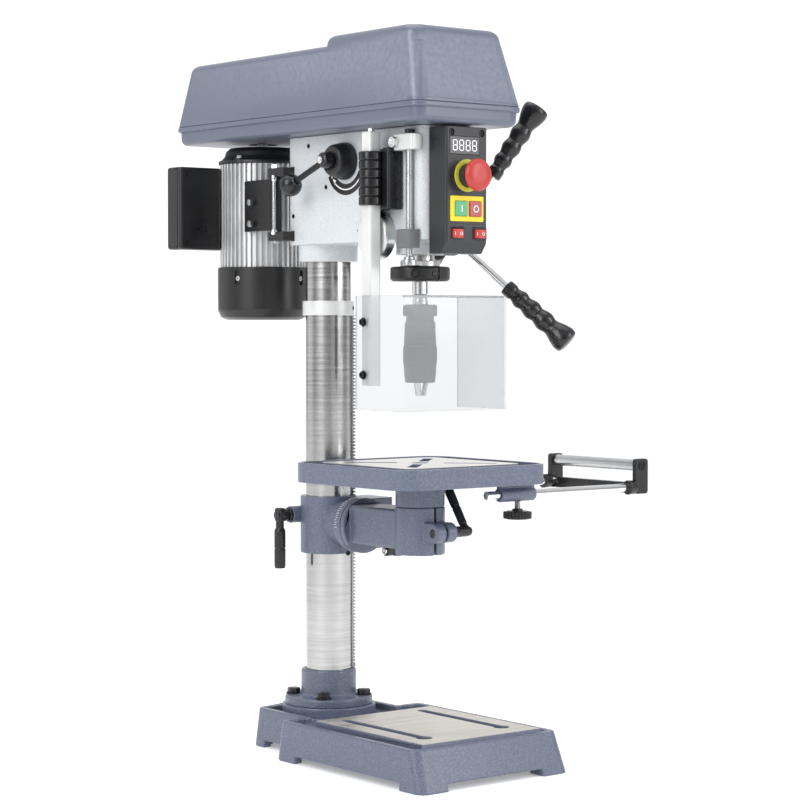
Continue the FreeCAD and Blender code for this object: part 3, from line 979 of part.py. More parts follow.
def make_controls():
    shell = span("-box_half", "box_half", "box_front", "head_front", "box_low", "box_high")
    # the chamfer at the foot of the box leans back to its lower edge
    slope = doc.addObject("Part::Wedge", "Chamfer")
    for prop, text in {"Xmin": "0", "Xmax": "2 * box_half + 2 * reach", "X2min": "0",
                       "X2max": "2 * box_half + 2 * reach", "Ymin": "0", "Ymax": "box_chamfer_high + reach",
                       "Zmin": "0", "Zmax": "box_chamfer_back + 2 * reach", "Z2min": "box_chamfer_back",
                       "Z2max": "box_chamfer_back + 2 * reach"}.items():
        tie(slope, prop, text)
    place(slope, "-box_half - reach", "box_front + box_chamfer_back", "box_low - reach", Rotation(Vector(1, 0, 0), 90))
    neck = cylinder("Y", "0", "estop_collar_end", "estop_height", "estop_collar", "box_front - estop_collar_end + reach")
    frames = []
    rooms = []
    pins = []
    for x in ("rocker_left", "rocker_right"):
        pins.append(cylinder("Z", x, "rocker_pivot_y", "rocker_height - rocker_half_high - reach", "rocker_pin",
                             "2 * (rocker_half_high + reach)"))
        frames.append(span(f"{x} - rocker_frame", f"{x} + rocker_frame", "box_front - rocker_frame_thick",
                           "box_front + reach", "rocker_height - rocker_frame_high",
                           "rocker_height + rocker_frame_high"))
        rooms.append(span(f"{x} - rocker_half - rocker_room", f"{x} + rocker_half + rocker_room",
                          "box_front - rocker_frame_thick - reach", "rocker_back + rocker_room",
                          "rocker_height - rocker_half_high - air_gap", "rocker_height + rocker_half_high + air_gap"))
    for x in ("start_x", "stop_x"):
        rooms.append(span(f"{x} - button_half - air_gap", f"{x} + button_half + air_gap", "box_front - reach",
                          "button_back + 4", "switch_height - button_half_high - air_gap",
                          "switch_height + button_half_high + air_gap"))
    rooms.append(cylinder("Y", "0", "estop_collar_end - reach", "estop_height", "estop_stem + air_gap", "24"))
    rooms.append(span("display_mid - display_half", "display_mid + display_half", "box_front - reach",
                      "box_front + display_thick", "display_low", "display_high"))
    block = rounded(shell, "3", lambda edge: upright(edge) and edge.Vertexes[0].Y < size("box_front") / 2)
    piece("control_box", fuse(cut(fuse(cut(block, slope), neck, *frames), *rooms), *pins))
    piece("display_window", span("display_mid - display_half", "display_mid + display_half", "box_front",
                                 "box_front + display_thick", "display_low", "display_high"))
    ring = cylinder("Y", "0", "box_front - 2", "estop_height", "estop_ring", "2")
    hole = cylinder("Y", "0", "box_front - 3", "estop_height", "estop_collar", "4")
    plate = span("switch_mid - switch_half", "switch_mid + switch_half", "box_front - switch_thick", "box_front",
                 "switch_height - switch_half_high", "switch_height + switch_half_high")
    windows = [span(f"{x} - button_half - air_gap", f"{x} + button_half + air_gap", "box_front - 3", "box_front + reach",
                    "switch_height - button_half_high - air_gap", "switch_height + button_half_high + air_gap")
               for x in ("start_x", "stop_x")]
    piece("switch_plates", doc.addObject("Part::Compound", "Plates"))
    pieces[-1].Links = [cut(ring, hole), cut(plate, *windows)]
    stem = cylinder("Y", "0", "estop_cap_start", "estop_height", "estop_stem", "box_front - estop_cap_start + 6")
    cap = cylinder("Y", "0", "estop_cap_end + 4", "estop_height", "estop_ring", "estop_cap_start - estop_cap_end - 4")
    dome = cone("Y", "0", "estop_cap_end", "estop_height", "estop_ring - 5", "estop_ring", "4")
    piece("estop_button", fuse(stem, cap, dome))
    for name, x in (("start_button", "start_x"), ("stop_button", "stop_x")):
        piece(name, span(f"{x} - button_half", f"{x} + button_half", "button_end", "button_back",
                         "switch_height - button_half_high", "switch_height + button_half_high"))
    for name, x in (("light_rocker", "rocker_left"), ("power_rocker", "rocker_right")):
        key = span(f"{x} - rocker_half", f"{x} + rocker_half", "rocker_end", "rocker_back",
                   "rocker_height - rocker_half_high", "rocker_height + rocker_half_high")
        pivot = cylinder("Z", x, "rocker_pivot_y", "rocker_height - rocker_half_high - reach",
                         "rocker_pin + fit_gap", "2 * (rocker_half_high + reach)")
        piece(name, cut(key, pivot))


# ---- chuck guard ----

def make_guard():
    casing = rounded(span("switch_box_left", "switch_box_right", "switch_box_front", "switch_box_rear",
                          "switch_box_low", "switch_box_high"), "3")
    saddle = cylinder("Z", "post_x", "post_y", "switch_box_low - reach", "guard_sleeve_radius + air_gap",
                      "switch_box_high - switch_box_low + 2 * reach")
    piece("guard_switch_box", cut(casing, saddle))
    post = rounded(span("post_x - post_half", "post_x + post_half", "post_y - post_half", "post_y + post_half",
                        "post_low", "post_high"), "3")
    piece("guard_post", post)
    sleeve = cylinder("Z", "post_x", "post_y", "guard_sleeve_low", "guard_sleeve_radius",
                      "guard_sleeve_high - guard_sleeve_low")
    seat = rounded(span("post_x - post_half", "post_x + post_half", "post_y - post_half", "post_y + post_half",
                        "guard_sleeve_low - reach", "guard_sleeve_high + reach"), "3")
    piece("guard_sleeve", cut(sleeve, seat))
    outer = rounded(span("post_x - post_half - guard_wall", "guard_half + guard_wall", "guard_front", "guard_rear",
                         "guard_low", "guard_high"), "4", lambda edge: upright(edge) and edge.Vertexes[0].Y < -200)
    inner = span("post_x - post_half", "guard_half", "guard_front + guard_wall", "guard_rear + reach",
                 "guard_low - reach", "guard_high + reach")
    piece("guard_shield", cut(outer, inner))


def check():
    """Stops at an object that failed, or a piece with no valid shape."""
    for thing in doc.Objects:
        if {"Invalid", "Error"} & set(thing.State):
            raise RuntimeError(f"{thing.Label} failed: {thing.State}")
    for thing in pieces:
        if thing.Shape.isNull() or not thing.Shape.isValid() or not thing.Shape.Solids:
            raise RuntimeError(f"{thing.Label} has no valid solid")


for make in (make_base, make_column, make_rack, make_bracket, make_lift, make_arm, make_table, make_extension,
             make_head, make_quill, make_chuck, make_feed, make_spring, make_drive, make_motor, make_cover,
             make_controls, make_guard):
    make()
doc.recompute()
check()
os.makedirs("parts", exist_ok=True)
for thing in pieces:
    thing.Shape.exportStep(f"parts/{thing.Label}.step")
print(len(pieces), "pieces,", sum(len(thing.Shape.Solids) for thing in pieces), "solids")
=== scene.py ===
# %% [markdown]
# # A bench drill press
# The machine is a column on a cast base, with a head that carries the spindle, a belt drive under a hood,
# a motor behind it and a table that is cranked up and down. The engineering model comes in as a fixed frame.
# Every piece made here sits on that frame and rides on one of its bodies, so the machine can still be posed.
# %% Load the frame
import math

import bmesh
import bpy
from mathutils.bvhtree import BVHTree
from mathutils import Matrix, Vector


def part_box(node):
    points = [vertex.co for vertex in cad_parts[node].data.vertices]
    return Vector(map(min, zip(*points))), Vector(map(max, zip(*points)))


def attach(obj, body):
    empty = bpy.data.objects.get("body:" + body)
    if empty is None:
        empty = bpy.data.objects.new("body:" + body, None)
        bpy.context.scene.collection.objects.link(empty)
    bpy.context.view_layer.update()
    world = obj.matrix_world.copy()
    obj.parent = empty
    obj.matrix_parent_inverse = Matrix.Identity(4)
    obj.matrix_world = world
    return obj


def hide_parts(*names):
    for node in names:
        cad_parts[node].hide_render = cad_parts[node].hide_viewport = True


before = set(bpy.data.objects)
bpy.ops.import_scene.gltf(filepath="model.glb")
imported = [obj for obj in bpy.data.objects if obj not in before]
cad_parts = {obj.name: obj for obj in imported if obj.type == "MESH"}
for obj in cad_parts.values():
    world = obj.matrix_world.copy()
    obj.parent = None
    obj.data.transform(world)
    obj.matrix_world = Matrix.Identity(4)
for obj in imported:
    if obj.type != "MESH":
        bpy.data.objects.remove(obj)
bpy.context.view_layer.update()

MM = 0.001
SIDES = 72
STRAY = 0.8

# %% [markdown]
# ## Reading the frame
# A maker works in millimetres, and Blender works in metres, so two small helpers read a node's box in
# millimetres. A piece that follows a node takes its place from that node's box.
# %% Measure a node


def corners(node):
    """The lowest and highest corner of a node, in millimetres."""
    low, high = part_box(node)
    return low / MM, high / MM


def middle(node):
    low, high = corners(node)
    return (low + high) / 2


column_low, column_high = corners("column")
print("column", [round(v, 1) for v in column_high - column_low])

# %% [markdown]
# ## Making meshes
# Most parts of a machine tool are turned on a lathe, sawn from plate or cast with drafted walls. Three
# helpers follow those ways of making: a profile swept round an axis, an outline given thickness, and a skin
# drawn over a stack of loops. Sharp corners don't exist on real parts, so an outline's corners are eased into
# small arcs before it is used.
# %% Mesh helpers


def solid(name, verts, faces):
    """A mesh object from corners in millimetres, welded, with its faces turned outwards."""
    mesh = bpy.data.meshes.new(name)
    mesh.from_pydata([Vector(v) * MM for v in verts], [], faces)
    work = bmesh.new()
    work.from_mesh(mesh)
    bmesh.ops.remove_doubles(work, verts=work.verts, dist=1e-7)
    bmesh.ops.recalc_face_normals(work, faces=work.faces)
    work.to_mesh(mesh)
    work.free()
    thing = bpy.data.objects.new(name, mesh)
    bpy.context.scene.collection.objects.link(thing)
    return thing


def eased(points, ease, closed=True, steps=4):
    """An outline whose corners are small arcs; a point may carry its own ease as a third number."""
    count = len(points)
    result = []
    for n, point in enumerate(points):
        here = Vector(point[:2])
        wanted = point[2] if len(point) > 2 else ease
        before = Vector(points[n - 1][:2]) - here
        after = Vector(points[(n + 1) % count][:2]) - here
        bend = min(wanted, before.length * 0.45, after.length * 0.45)
        if bend < 1e-4 or (not closed and n in (0, count - 1)):
            result.append(here)
            continue
        start, end = here + before.normalized() * bend, here + after.normalized() * bend
        for k in range(steps + 1):
            t = k / steps
            result.append(start * (1 - t) ** 2 + here * 2 * t * (1 - t) + end * t ** 2)
    return result


def aimed(axis):
    """The shortest turn that points local Z along an axis."""
    return Vector((0, 0, 1)).rotation_difference(Vector(axis)).to_matrix()


def turned(name, profile, centre=(0, 0, 0), axis=(0, 0, 1), ease=0.8, ring=False, sides=SIDES):
    """A lathe part: (radius, height) points swept about an axis through a centre."""
    outline = eased(profile, ease, closed=ring)
    turn, base = aimed(axis), Vector(centre)
    verts = []
    for radius, height in outline:
        for k in range(sides):
            angle = 2 * math.pi * k / sides
            verts.append(base + turn @ Vector((radius * math.cos(angle), radius * math.sin(angle), height)))
    rows = len(outline)
    faces = []
    for row in range(rows if ring else rows - 1):
        above = (row + 1) % rows
        for k in range(sides):
            beside = (k + 1) % sides
            faces.append((row * sides + k, row * sides + beside, above * sides + beside, above * sides + k))
    return solid(name, verts, faces)


def bar(radius, low, high):
    """The profile of a plain round bar between two heights."""
    return [(0, low), (radius, low), (radius, high), (0, high)]


def skinned(name, loops):
    """A closed skin over a stack of loops that all have the same count of points."""
    count = len(loops[0])
    verts = [point for loop in loops for point in loop]
    faces = [tuple(range(count)), tuple(len(verts) - count + k for k in range(count))]
    for row in range(len(loops) - 1):
        for k in range(count):
            beside = (k + 1) % count
            low, high = row * count, (row + 1) * count
            faces.append((low + k, low + beside, high + beside, high + k))
    return solid(name, verts, faces)


def plate(name, outline, low, high, along="Z", ease=0.0):
    """An outline given thickness along an axis; the outline's two numbers are the other two axes in order."""
    order = {"X": (2, 0, 1), "Y": (0, 2, 1), "Z": (0, 1, 2)}[along]
    loops = []
    for height in (low, high):
        loops.append([[(p[0], p[1], height)[n] for n in order] for p in eased(outline, ease)])
    return skinned(name, loops)


def square(x0, x1, y0, y1):
    return [(x0, y0), (x1, y0), (x1, y1), (x0, y1)]


def drafted(name, foot, top, low, high, corner, edge, foot_edge=0.0):
    """A rounded cast box: its walls lean from the foot's (x0, x1, y0, y1) to the top's."""
    levels = []
    arc = 6
    if foot_edge:
        levels += [(low + foot_edge * (1 - math.cos(math.pi / 2 * k / arc)),
                    foot_edge * (1 - math.sin(math.pi / 2 * k / arc))) for k in range(arc)]
    levels.append((low + foot_edge, 0.0))
    levels += [(high - edge * (1 - math.sin(math.pi / 2 * k / arc)),
                edge * (1 - math.cos(math.pi / 2 * k / arc)))
               for k in range(arc + 1)]
    loops = []
    for z, inset in levels:
        share = (z - low) / (high - low)
        x0, x1, y0, y1 = [a + (b - a) * share for a, b in zip(foot, top)]
        ring = eased(square(x0 + inset, x1 - inset, y0 + inset, y1 - inset), max(corner - inset, 1), steps=8)
        loops.append([(p[0], p[1], z) for p in ring])
    return skinned(name, loops)


def baked(thing):
    """Applies the modifiers and keeps the result as a plain mesh."""
    bpy.context.view_layer.update()
    mesh = bpy.data.meshes.new_from_object(thing.evaluated_get(bpy.context.evaluated_depsgraph_get()))
    thing.modifiers.clear()
    thing.data = mesh
    return thing


def chamfered(thing, width, segments=3, angle=32):
    """Rounds every edge sharper than the angle."""
    bevel = thing.modifiers.new("Round", "BEVEL")
    bevel.width = width * MM
    bevel.segments = segments
    bevel.limit_method = "ANGLE"
    bevel.angle_limit = math.radians(angle)
    bevel.use_clamp_overlap = False
    return baked(thing)


def carved(thing, *tools, how="DIFFERENCE"):
    """Cuts tools away from a thing, or joins them to it."""
    for tool in tools:
        carve = thing.modifiers.new("Carve", "BOOLEAN")
        carve.operation = how
        carve.solver = "EXACT"
        carve.object = tool
        baked(thing)
        bpy.data.objects.remove(tool)
    return thing


def merged(name, *things):
    """One object from several, in the order given; materials come along."""
    work = bmesh.new()
    finishes = []
    for thing in things:
        start = len(work.faces)
        offset = len(finishes)
        work.from_mesh(thing.data)
        work.faces.ensure_lookup_table()
        for face in work.faces[start:]:
            face.material_index += offset
        finishes += list(thing.data.materials) or [None]
    mesh = bpy.data.meshes.new(name)
    work.to_mesh(mesh)
    work.free()
    for entry in finishes:
        mesh.materials.append(entry)
    for thing in things:
        bpy.data.objects.remove(thing)
    whole = bpy.data.objects.new(name, mesh)
    bpy.context.scene.collection.objects.link(whole)
    return whole


def copied(node, width, segments=2):
    """A welded copy of a CAD node with its edges rounded.

    A point that ends up farther from the CAD surface than STRAY widths is put back on it.
    """
    work = bmesh.new()
    work.from_mesh(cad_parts[node].data)
    bmesh.ops.remove_doubles(work, verts=work.verts, dist=2e-6)
    bmesh.ops.dissolve_limit(work, angle_limit=math.radians(1.0), verts=work.verts, edges=work.edges)
    surface = BVHTree.FromBMesh(work)
    mesh = bpy.data.meshes.new(node + "_form")
    work.to_mesh(mesh)
    work.free()
    thing = bpy.data.objects.new(node + "_form", mesh)
    bpy.context.scene.collection.objects.link(thing)
    chamfered(thing, width, segments, angle=32)
    for vert in thing.data.vertices:
        spot, _, _, far = surface.find_nearest(vert.co)
        if far > width * MM * STRAY:
            vert.co = spot
    return thing


def painted(thing, finish, where=None):
    """Sets a piece's finish, or adds a second one to the faces that a test picks by centre and normal."""
    if where is None:
        thing.data.materials.clear()
        thing.data.materials.append(finish)
        for face in thing.data.polygons:
            face.material_index = 0
        return thing
    thing.data.materials.append(finish)
    index = len(thing.data.materials) - 1
    for face in thing.data.polygons:
        if where(face.center / MM, face.normal):
            face.material_index = index
    return thing


def fitted(thing, body, *nodes, crease=36, slot=None):
    """Smooths a finished piece, rides it on a body and lets it stand for CAD nodes."""
    for face in thing.data.polygons:
        face.use_smooth = True
    thing.data.set_sharp_from_angle(angle=math.radians(crease))
    weigh = thing.modifiers.new("Weigh", "WEIGHTED_NORMAL")
    weigh.keep_sharp = True
    baked(thing)
    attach(thing, body)
    if nodes:
        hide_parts(*nodes)
    return thing


# %% [markdown]
# ## Repeating small things
# Screws, fins, knurls and scale marks repeat in a ring, along an arc or in a row. Geometry Nodes make them: a
# line of points is bent to the ring or left straight, one modelled part is set on each point, and the result
# is turned into a plain mesh. One function builds both trees, because a ring is a row whose points are moved.
# %% Trees that repeat a part


def add(tree, kind, links=None, **settings):
    """Adds a node; links gives each named input a value or another node's output."""
    made = tree.nodes.new(kind)
    for key, value in settings.items():
        setattr(made, key, value)
    for key, value in (links or {}).items():
        if isinstance(value, bpy.types.NodeSocket):
            tree.links.new(value, made.inputs[key])
        else:
            made.inputs[key].default_value = value
    return made


def repeat_tree(name, ringed):
    tree = bpy.data.node_groups.new(name, "GeometryNodeTree")
    if ringed:
        sockets = [("Count", "NodeSocketInt"), ("Radius", "NodeSocketFloat"), ("Start", "NodeSocketFloat"),
                   ("Step", "NodeSocketFloat")]
    else:
        sockets = [("Count", "NodeSocketInt"), ("Spacing", "NodeSocketVector")]
    for label, kind in sockets + [("Part", "NodeSocketObject"), ("Finish", "NodeSocketMaterial")]:
        tree.interface.new_socket(label, in_out="INPUT", socket_type=kind)
    tree.interface.new_socket("Geometry", in_out="OUTPUT", socket_type="NodeSocketGeometry")
    given = add(tree, "NodeGroupInput").outputs
    part = add(tree, "GeometryNodeObjectInfo", {"Object": given["Part"]})
    if ringed:
        line = add(tree, "GeometryNodeMeshLine", {"Count": given["Count"], "Offset": (0.0, 0.0, 0.0)})
        place = add(tree, "GeometryNodeInputIndex")
        angle = add(tree, "ShaderNodeMath", {0: place.outputs[0], 1: given["Step"], 2: given["Start"]},
                    operation="MULTIPLY_ADD")
        across = add(tree, "ShaderNodeMath", {0: angle.outputs[0]}, operation="COSINE")
        up = add(tree, "ShaderNodeMath", {0: angle.outputs[0]}, operation="SINE")
        both = add(tree, "ShaderNodeCombineXYZ", {"X": across.outputs[0], "Y": up.outputs[0]})
        spot = add(tree, "ShaderNodeVectorMath", {0: both.outputs[0], "Scale": given["Radius"]},
                   operation="SCALE")
        points = add(tree, "GeometryNodeSetPosition",
                     {"Geometry": line.outputs[0], "Position": spot.outputs[0]})
        spin = add(tree, "ShaderNodeCombineXYZ", {"Z": angle.outputs[0]})
        copies = add(tree, "GeometryNodeInstanceOnPoints", {"Points": points.outputs[0],
                                                            "Instance": part.outputs["Geometry"],
                                                            "Rotation": spin.outputs[0]})
    else:
        line = add(tree, "GeometryNodeMeshLine", {"Count": given["Count"], "Offset": given["Spacing"]})
        copies = add(tree, "GeometryNodeInstanceOnPoints", {"Points": line.outputs[0],
                                                            "Instance": part.outputs["Geometry"]})
    real = add(tree, "GeometryNodeRealizeInstances", {"Geometry": copies.outputs[0]})
    coat = add(tree, "GeometryNodeSetMaterial", {"Geometry": real.outputs[0], "Material": given["Finish"]})
    add(tree, "NodeGroupOutput", {"Geometry": coat.outputs[0]})
    return tree


RING = repeat_tree("parts_in_a_ring", True)
ROW = repeat_tree("parts_in_a_row", False)


def repeated(name, part, finish, tree, centre=(0, 0, 0), axis=(0, 0, 1), spin=0.0, **inputs):
    """Runs a repeating tree on a part and puts the plain mesh in place."""
    host = solid(name, [(0, 0, 0)], [])
    modifier = host.modifiers.new("Repeat", "NODES")
    modifier.node_group = tree
    inputs.update({"Part": part, "Finish": finish})
    for socket in tree.interface.items_tree:
        if socket.in_out == "INPUT":
            modifier[socket.identifier] = inputs[socket.name]
    baked(host)
    turn = aimed(axis).to_4x4() @ Matrix.Rotation(spin, 4, "Z")
    host.data.transform(Matrix.Translation(Vector(centre) * MM) @ turn)
    bpy.data.objects.remove(part)
    return painted(host, finish)


def ringed(name, part, finish, count, radius, centre, axis=(0, 0, 1), start=0.0, step=None, spin=0.0):
    """Copies of a part around an axis; angles in degrees."""
    step = 360 / count if step is None else step
    return repeated(name, part, finish, RING, centre, axis, math.radians(spin), Count=count,
                    Radius=radius * MM,
                    Start=math.radians(start), Step=math.radians(step))


def row(name, part, finish, count, spacing, centre=(0, 0, 0), axis=(0, 0, 1), spin=0.0):
    """Copies of a part along a line."""
    return repeated(name, part, finish, ROW, centre, axis, math.radians(spin), Count=count,
                    Spacing=[v * MM for v in spacing])


# %% [markdown]
# ## Surface effects
# The castings have a hammered enamel: small soft dimples with fleck between them. Steel shows lines from the
# tool that cut it. Mouldings have a faint grain, and everything handled has smudges in its gloss. Each effect
# is a node group with its own inputs, so one group serves many finishes with different values.
# %% Node groups


def group_of(name, inputs, outputs):
    tree = bpy.data.node_groups.new(name, "ShaderNodeTree")
    for label, kind, value in inputs:
        socket = tree.interface.new_socket(label, in_out="INPUT", socket_type=kind)
        if value is not None:
            socket.default_value = value
    for label, kind in outputs:
        tree.interface.new_socket(label, in_out="OUTPUT", socket_type=kind)
    return tree, add(tree, "NodeGroupInput").outputs


FLOAT, VECTOR = "NodeSocketFloat", "NodeSocketVector"


def hammered_group():
    """Dimples of a hammered enamel, and fleck between them."""
    tree, given = group_of("hammered", [("Vector", VECTOR, None), ("Scale", FLOAT, 300.0)],
                           [("Height", FLOAT), ("Fleck", FLOAT)])
    bend = add(tree, "ShaderNodeTexNoise", {"Vector": given["Vector"], "Scale": 90.0, "Detail": 2.0})
    warp = add(tree, "ShaderNodeVectorMath", {0: bend.outputs["Color"], 1: (0.004, 0.004, 0.004)},
               operation="MULTIPLY")
    moved = add(tree, "ShaderNodeVectorMath", {0: given["Vector"], 1: warp.outputs[0]}, operation="ADD")
    cell = add(tree, "ShaderNodeTexVoronoi", {"Vector": moved.outputs[0], "Scale": given["Scale"],
                                              "Smoothness": 0.6}, feature="SMOOTH_F1")
    fine = add(tree, "ShaderNodeTexNoise", {"Vector": given["Vector"], "Scale": 900.0, "Detail": 2.0})
    height = add(tree, "ShaderNodeMath", {0: fine.outputs[0], 1: 0.35, 2: cell.outputs["Distance"]},
                 operation="MULTIPLY_ADD")
    fleck = add(tree, "ShaderNodeMapRange", {"Value": cell.outputs["Distance"], "From Min": 0.15,
                                             "From Max": 0.75})
    add(tree, "NodeGroupOutput", {"Height": height.outputs[0], "Fleck": fleck.outputs[0]})
    return tree


def tooled_group():
    """Lines that a cutting tool leaves, drawn long along the directions with a small stretch number."""
    tree, given = group_of("tool_lines", [("Vector", VECTOR, None), ("Stretch", VECTOR, (1.0, 1.0, 60.0)),
                                          ("Scale", FLOAT, 60.0)], [("Height", FLOAT), ("Streak", FLOAT)])
    long = add(tree, "ShaderNodeVectorMath", {0: given["Vector"], 1: given["Stretch"]}, operation="MULTIPLY")
    lines = add(tree, "ShaderNodeTexNoise",
                {"Vector": long.outputs[0], "Scale": given["Scale"], "Detail": 4.0,
                                             "Roughness": 0.65})
    broad = add(tree, "ShaderNodeTexNoise", {"Vector": long.outputs[0], "Scale": 6.0, "Detail": 1.0})
    streak = add(tree, "ShaderNodeMath", {0: lines.outputs[0], 1: broad.outputs[0]}, operation="MULTIPLY")
    wide = add(tree, "ShaderNodeMapRange", {"Value": streak.outputs[0], "From Min": 0.12, "From Max": 0.42})
    add(tree, "NodeGroupOutput", {"Height": lines.outputs[0], "Streak": wide.outputs[0]})
    return tree


def smudge_group():
    """Slow patches for colour and gloss, and a fine grain."""
    tree, given = group_of("smudge",
                           [("Vector", VECTOR, None), ("Scale", FLOAT, 14.0), ("Grain", FLOAT, 1200.0)],
                           [("Patch", FLOAT), ("Grain", FLOAT)])
    patch = add(tree, "ShaderNodeTexNoise",
                {"Vector": given["Vector"], "Scale": given["Scale"], "Detail": 5.0,
                                             "Roughness": 0.6})
    spread = add(tree, "ShaderNodeMapRange", {"Value": patch.outputs[0], "From Min": 0.3, "From Max": 0.7})
    grain = add(tree, "ShaderNodeTexNoise",
                {"Vector": given["Vector"], "Scale": given["Grain"], "Detail": 1.0})
    add(tree, "NodeGroupOutput", {"Patch": spread.outputs[0], "Grain": grain.outputs[0]})
    return tree


def worn_group():
    """How far an outer edge is rubbed bright, broken up by noise."""
    tree, given = group_of("worn_edge", [("Vector", VECTOR, None), ("Reach", FLOAT, 0.56)], [("Mask", FLOAT)])
    bend = add(tree, "ShaderNodeNewGeometry")
    edge = add(tree, "ShaderNodeMapRange", {"Value": bend.outputs["Pointiness"], "From Min": given["Reach"],
                                            "From Max": 0.68})
    breaks = add(tree, "ShaderNodeTexNoise", {"Vector": given["Vector"], "Scale": 160.0, "Detail": 3.0})
    mask = add(tree, "ShaderNodeMath", {0: edge.outputs[0], 1: breaks.outputs[0]}, operation="MULTIPLY",
               use_clamp=True)
    add(tree, "NodeGroupOutput", {"Mask": mask.outputs[0]})
    return tree


HAMMERED, TOOLED, SMUDGE, WORN = hammered_group(), tooled_group(), smudge_group(), worn_group()


def tone(code):
    """A linear colour from a six-digit code."""
    parts = [int(code[n:n + 2], 16) / 255 for n in (0, 2, 4)]
    return [v / 12.92 if v <= 0.04045 else ((v + 0.055) / 1.055) ** 2.4 for v in parts] + [1.0]


def group_node(tree, group, links):
    made = tree.nodes.new("ShaderNodeGroup")
    made.node_tree = group
    for key, value in links.items():
        if isinstance(value, bpy.types.NodeSocket):
            tree.links.new(value, made.inputs[key])
        else:
            made.inputs[key].default_value = value
    return made.outputs


def blended(tree, share, low, high):
    """A colour between two, by a share."""
    mix = tree.nodes.new("ShaderNodeMix")
    mix.data_type = "RGBA"
    for key, value in (("Factor", share), ("A", low), ("B", high)):
        socket = [s for s in mix.inputs if s.name == key and (key == "Factor") == (s.type == "VALUE")
                  and (key == "Factor" or s.type == "RGBA")][0]
        if isinstance(value, bpy.types.NodeSocket):
            tree.links.new(value, socket)
        else:
            socket.default_value = value
    return [s for s in mix.outputs if s.type == "RGBA"][0]


def finish(name, slot, light, dark, rough, metal=0.0, skin="grain", depth=0.1, scale=1.0, stretch=(1, 1, 1),
           wear=None, coat=0.0, patch=14.0, fleck=None, rough_spread=0.08, grain=1200.0):
    """A procedural material: two tones, drifting gloss, a bump of its kind, and worn edges if asked for."""
    material = bpy.data.materials.new(name)
    material.use_nodes = True
    tree = material.node_tree
    shader = [n for n in tree.nodes if n.type == "BSDF_PRINCIPLED"][0]
    where = add(tree, "ShaderNodeTexCoord").outputs["Object"]
    smudge = group_node(tree, SMUDGE, {"Vector": where, "Scale": patch, "Grain": grain})
    colour = blended(tree, smudge["Patch"], tone(dark), tone(light))
    height, distance = smudge["Grain"], 0.0001
    gloss = smudge["Patch"]
    if skin == "hammered":
        skin_out = group_node(tree, HAMMERED, {"Vector": where, "Scale": 300.0 * scale})
        colour = blended(tree, skin_out["Fleck"], colour, tone(fleck))
        height, distance = skin_out["Height"], 0.0008
    if skin == "tooled":
        skin_out = group_node(tree, TOOLED, {"Vector": where, "Stretch": stretch, "Scale": 60.0 * scale})
        colour = blended(tree, skin_out["Streak"], colour, tone(fleck or light))
        height, gloss, distance = skin_out["Height"], skin_out["Streak"], 0.0003
    if wear:
        worn = group_node(tree, WORN, {"Vector": where, "Reach": 0.56})
        colour = blended(tree, worn["Mask"], colour, tone(wear))
    tree.links.new(colour, shader.inputs["Base Color"])
    spread = add(tree, "ShaderNodeMapRange", {"Value": gloss, "To Min": rough - rough_spread,
                                              "To Max": rough + rough_spread})
    tree.links.new(spread.outputs[0], shader.inputs["Roughness"])
    bump = add(tree, "ShaderNodeBump", {"Height": height, "Strength": depth, "Distance": distance})
    tree.links.new(bump.outputs[0], shader.inputs["Normal"])
    shader.inputs["Metallic"].default_value = metal
    shader.inputs["Coat Weight"].default_value = coat
    shader.inputs["Coat Roughness"].default_value = 0.12
    return material


# %% [markdown]
# ## The finishes of this machine
# Blue-grey hammered enamel on the castings, smoother blue-grey on the belt cover, light grey on the head,
# bare machined iron on the working faces, ground steel on the column, and black plastic and black oxide
# elsewhere.
# %% Make the finishes
cast_enamel = finish("cast_enamel", "cast_paint", "535b6c", "464d5e", 0.42, skin="hammered", depth=0.5,
                     scale=1.7,
                     fleck="636b7e", coat=0.25, wear="8b93a4")
cover_enamel = finish("cover_enamel", "cover_paint", "5f6676", "596070", 0.36, depth=0.12, coat=0.2,
                      wear="7d8393",
                      patch=5.0, grain=700.0)
head_enamel = finish("head_enamel", "head_paint", "c3c8cc", "b8bdc1", 0.40, skin="hammered", depth=0.25,
                     scale=1.6,
                     fleck="ccd1d4", coat=0.2, wear="d8dadb")
ground_iron = finish("ground_iron", "bright_steel", "c9c3ba", "aca69d", 0.42, metal=0.85, skin="tooled",
                     depth=0.25, stretch=(1.0, 14.0, 1.0), scale=2.0, fleck="ddd8d0")
table_iron = finish("table_iron", "bright_steel", "d9d6d0", "c6c2bc", 0.34, metal=0.85, skin="tooled",
                    depth=0.2,
                    stretch=(8.0, 1.0, 1.0), scale=2.0, fleck="efece8")
column_steel = finish("column_steel", "column_steel", "b4b4b3", "989897", 0.20, metal=1.0, skin="tooled",
                      depth=0.05, stretch=(1.0, 1.0, 40.0), fleck="c2c2c1", rough_spread=0.05)
chrome = finish("chrome", "bright_steel", "e6e6e6", "d4d5d6", 0.12, metal=1.0, depth=0.03, rough_spread=0.04)
zinc_steel = finish("zinc_steel", "bright_steel", "cfd0d0", "b6b8b9", 0.30, metal=1.0, depth=0.12)
rack_steel = finish("rack_steel", "dark_steel", "b9bbbd", "8f9193", 0.35, metal=0.9, depth=0.15)
chuck_steel = finish("chuck_steel", "dark_steel", "4c4e52", "3c3e41", 0.36, metal=0.55, depth=0.08,
                     skin="tooled",
                     stretch=(1.0, 1.0, 30.0))
white_metal = finish("white_metal", "alloy", "dcdddc", "cfd0cf", 0.35, metal=0.25, depth=0.05)
fin_alloy = finish("fin_alloy", "alloy", "dcdddd", "c6c7c8", 0.34, metal=0.75, depth=0.1)
bare_alloy = finish("bare_alloy", "alloy", "c9cac9", "b4b5b4", 0.38, metal=0.85, depth=0.15)
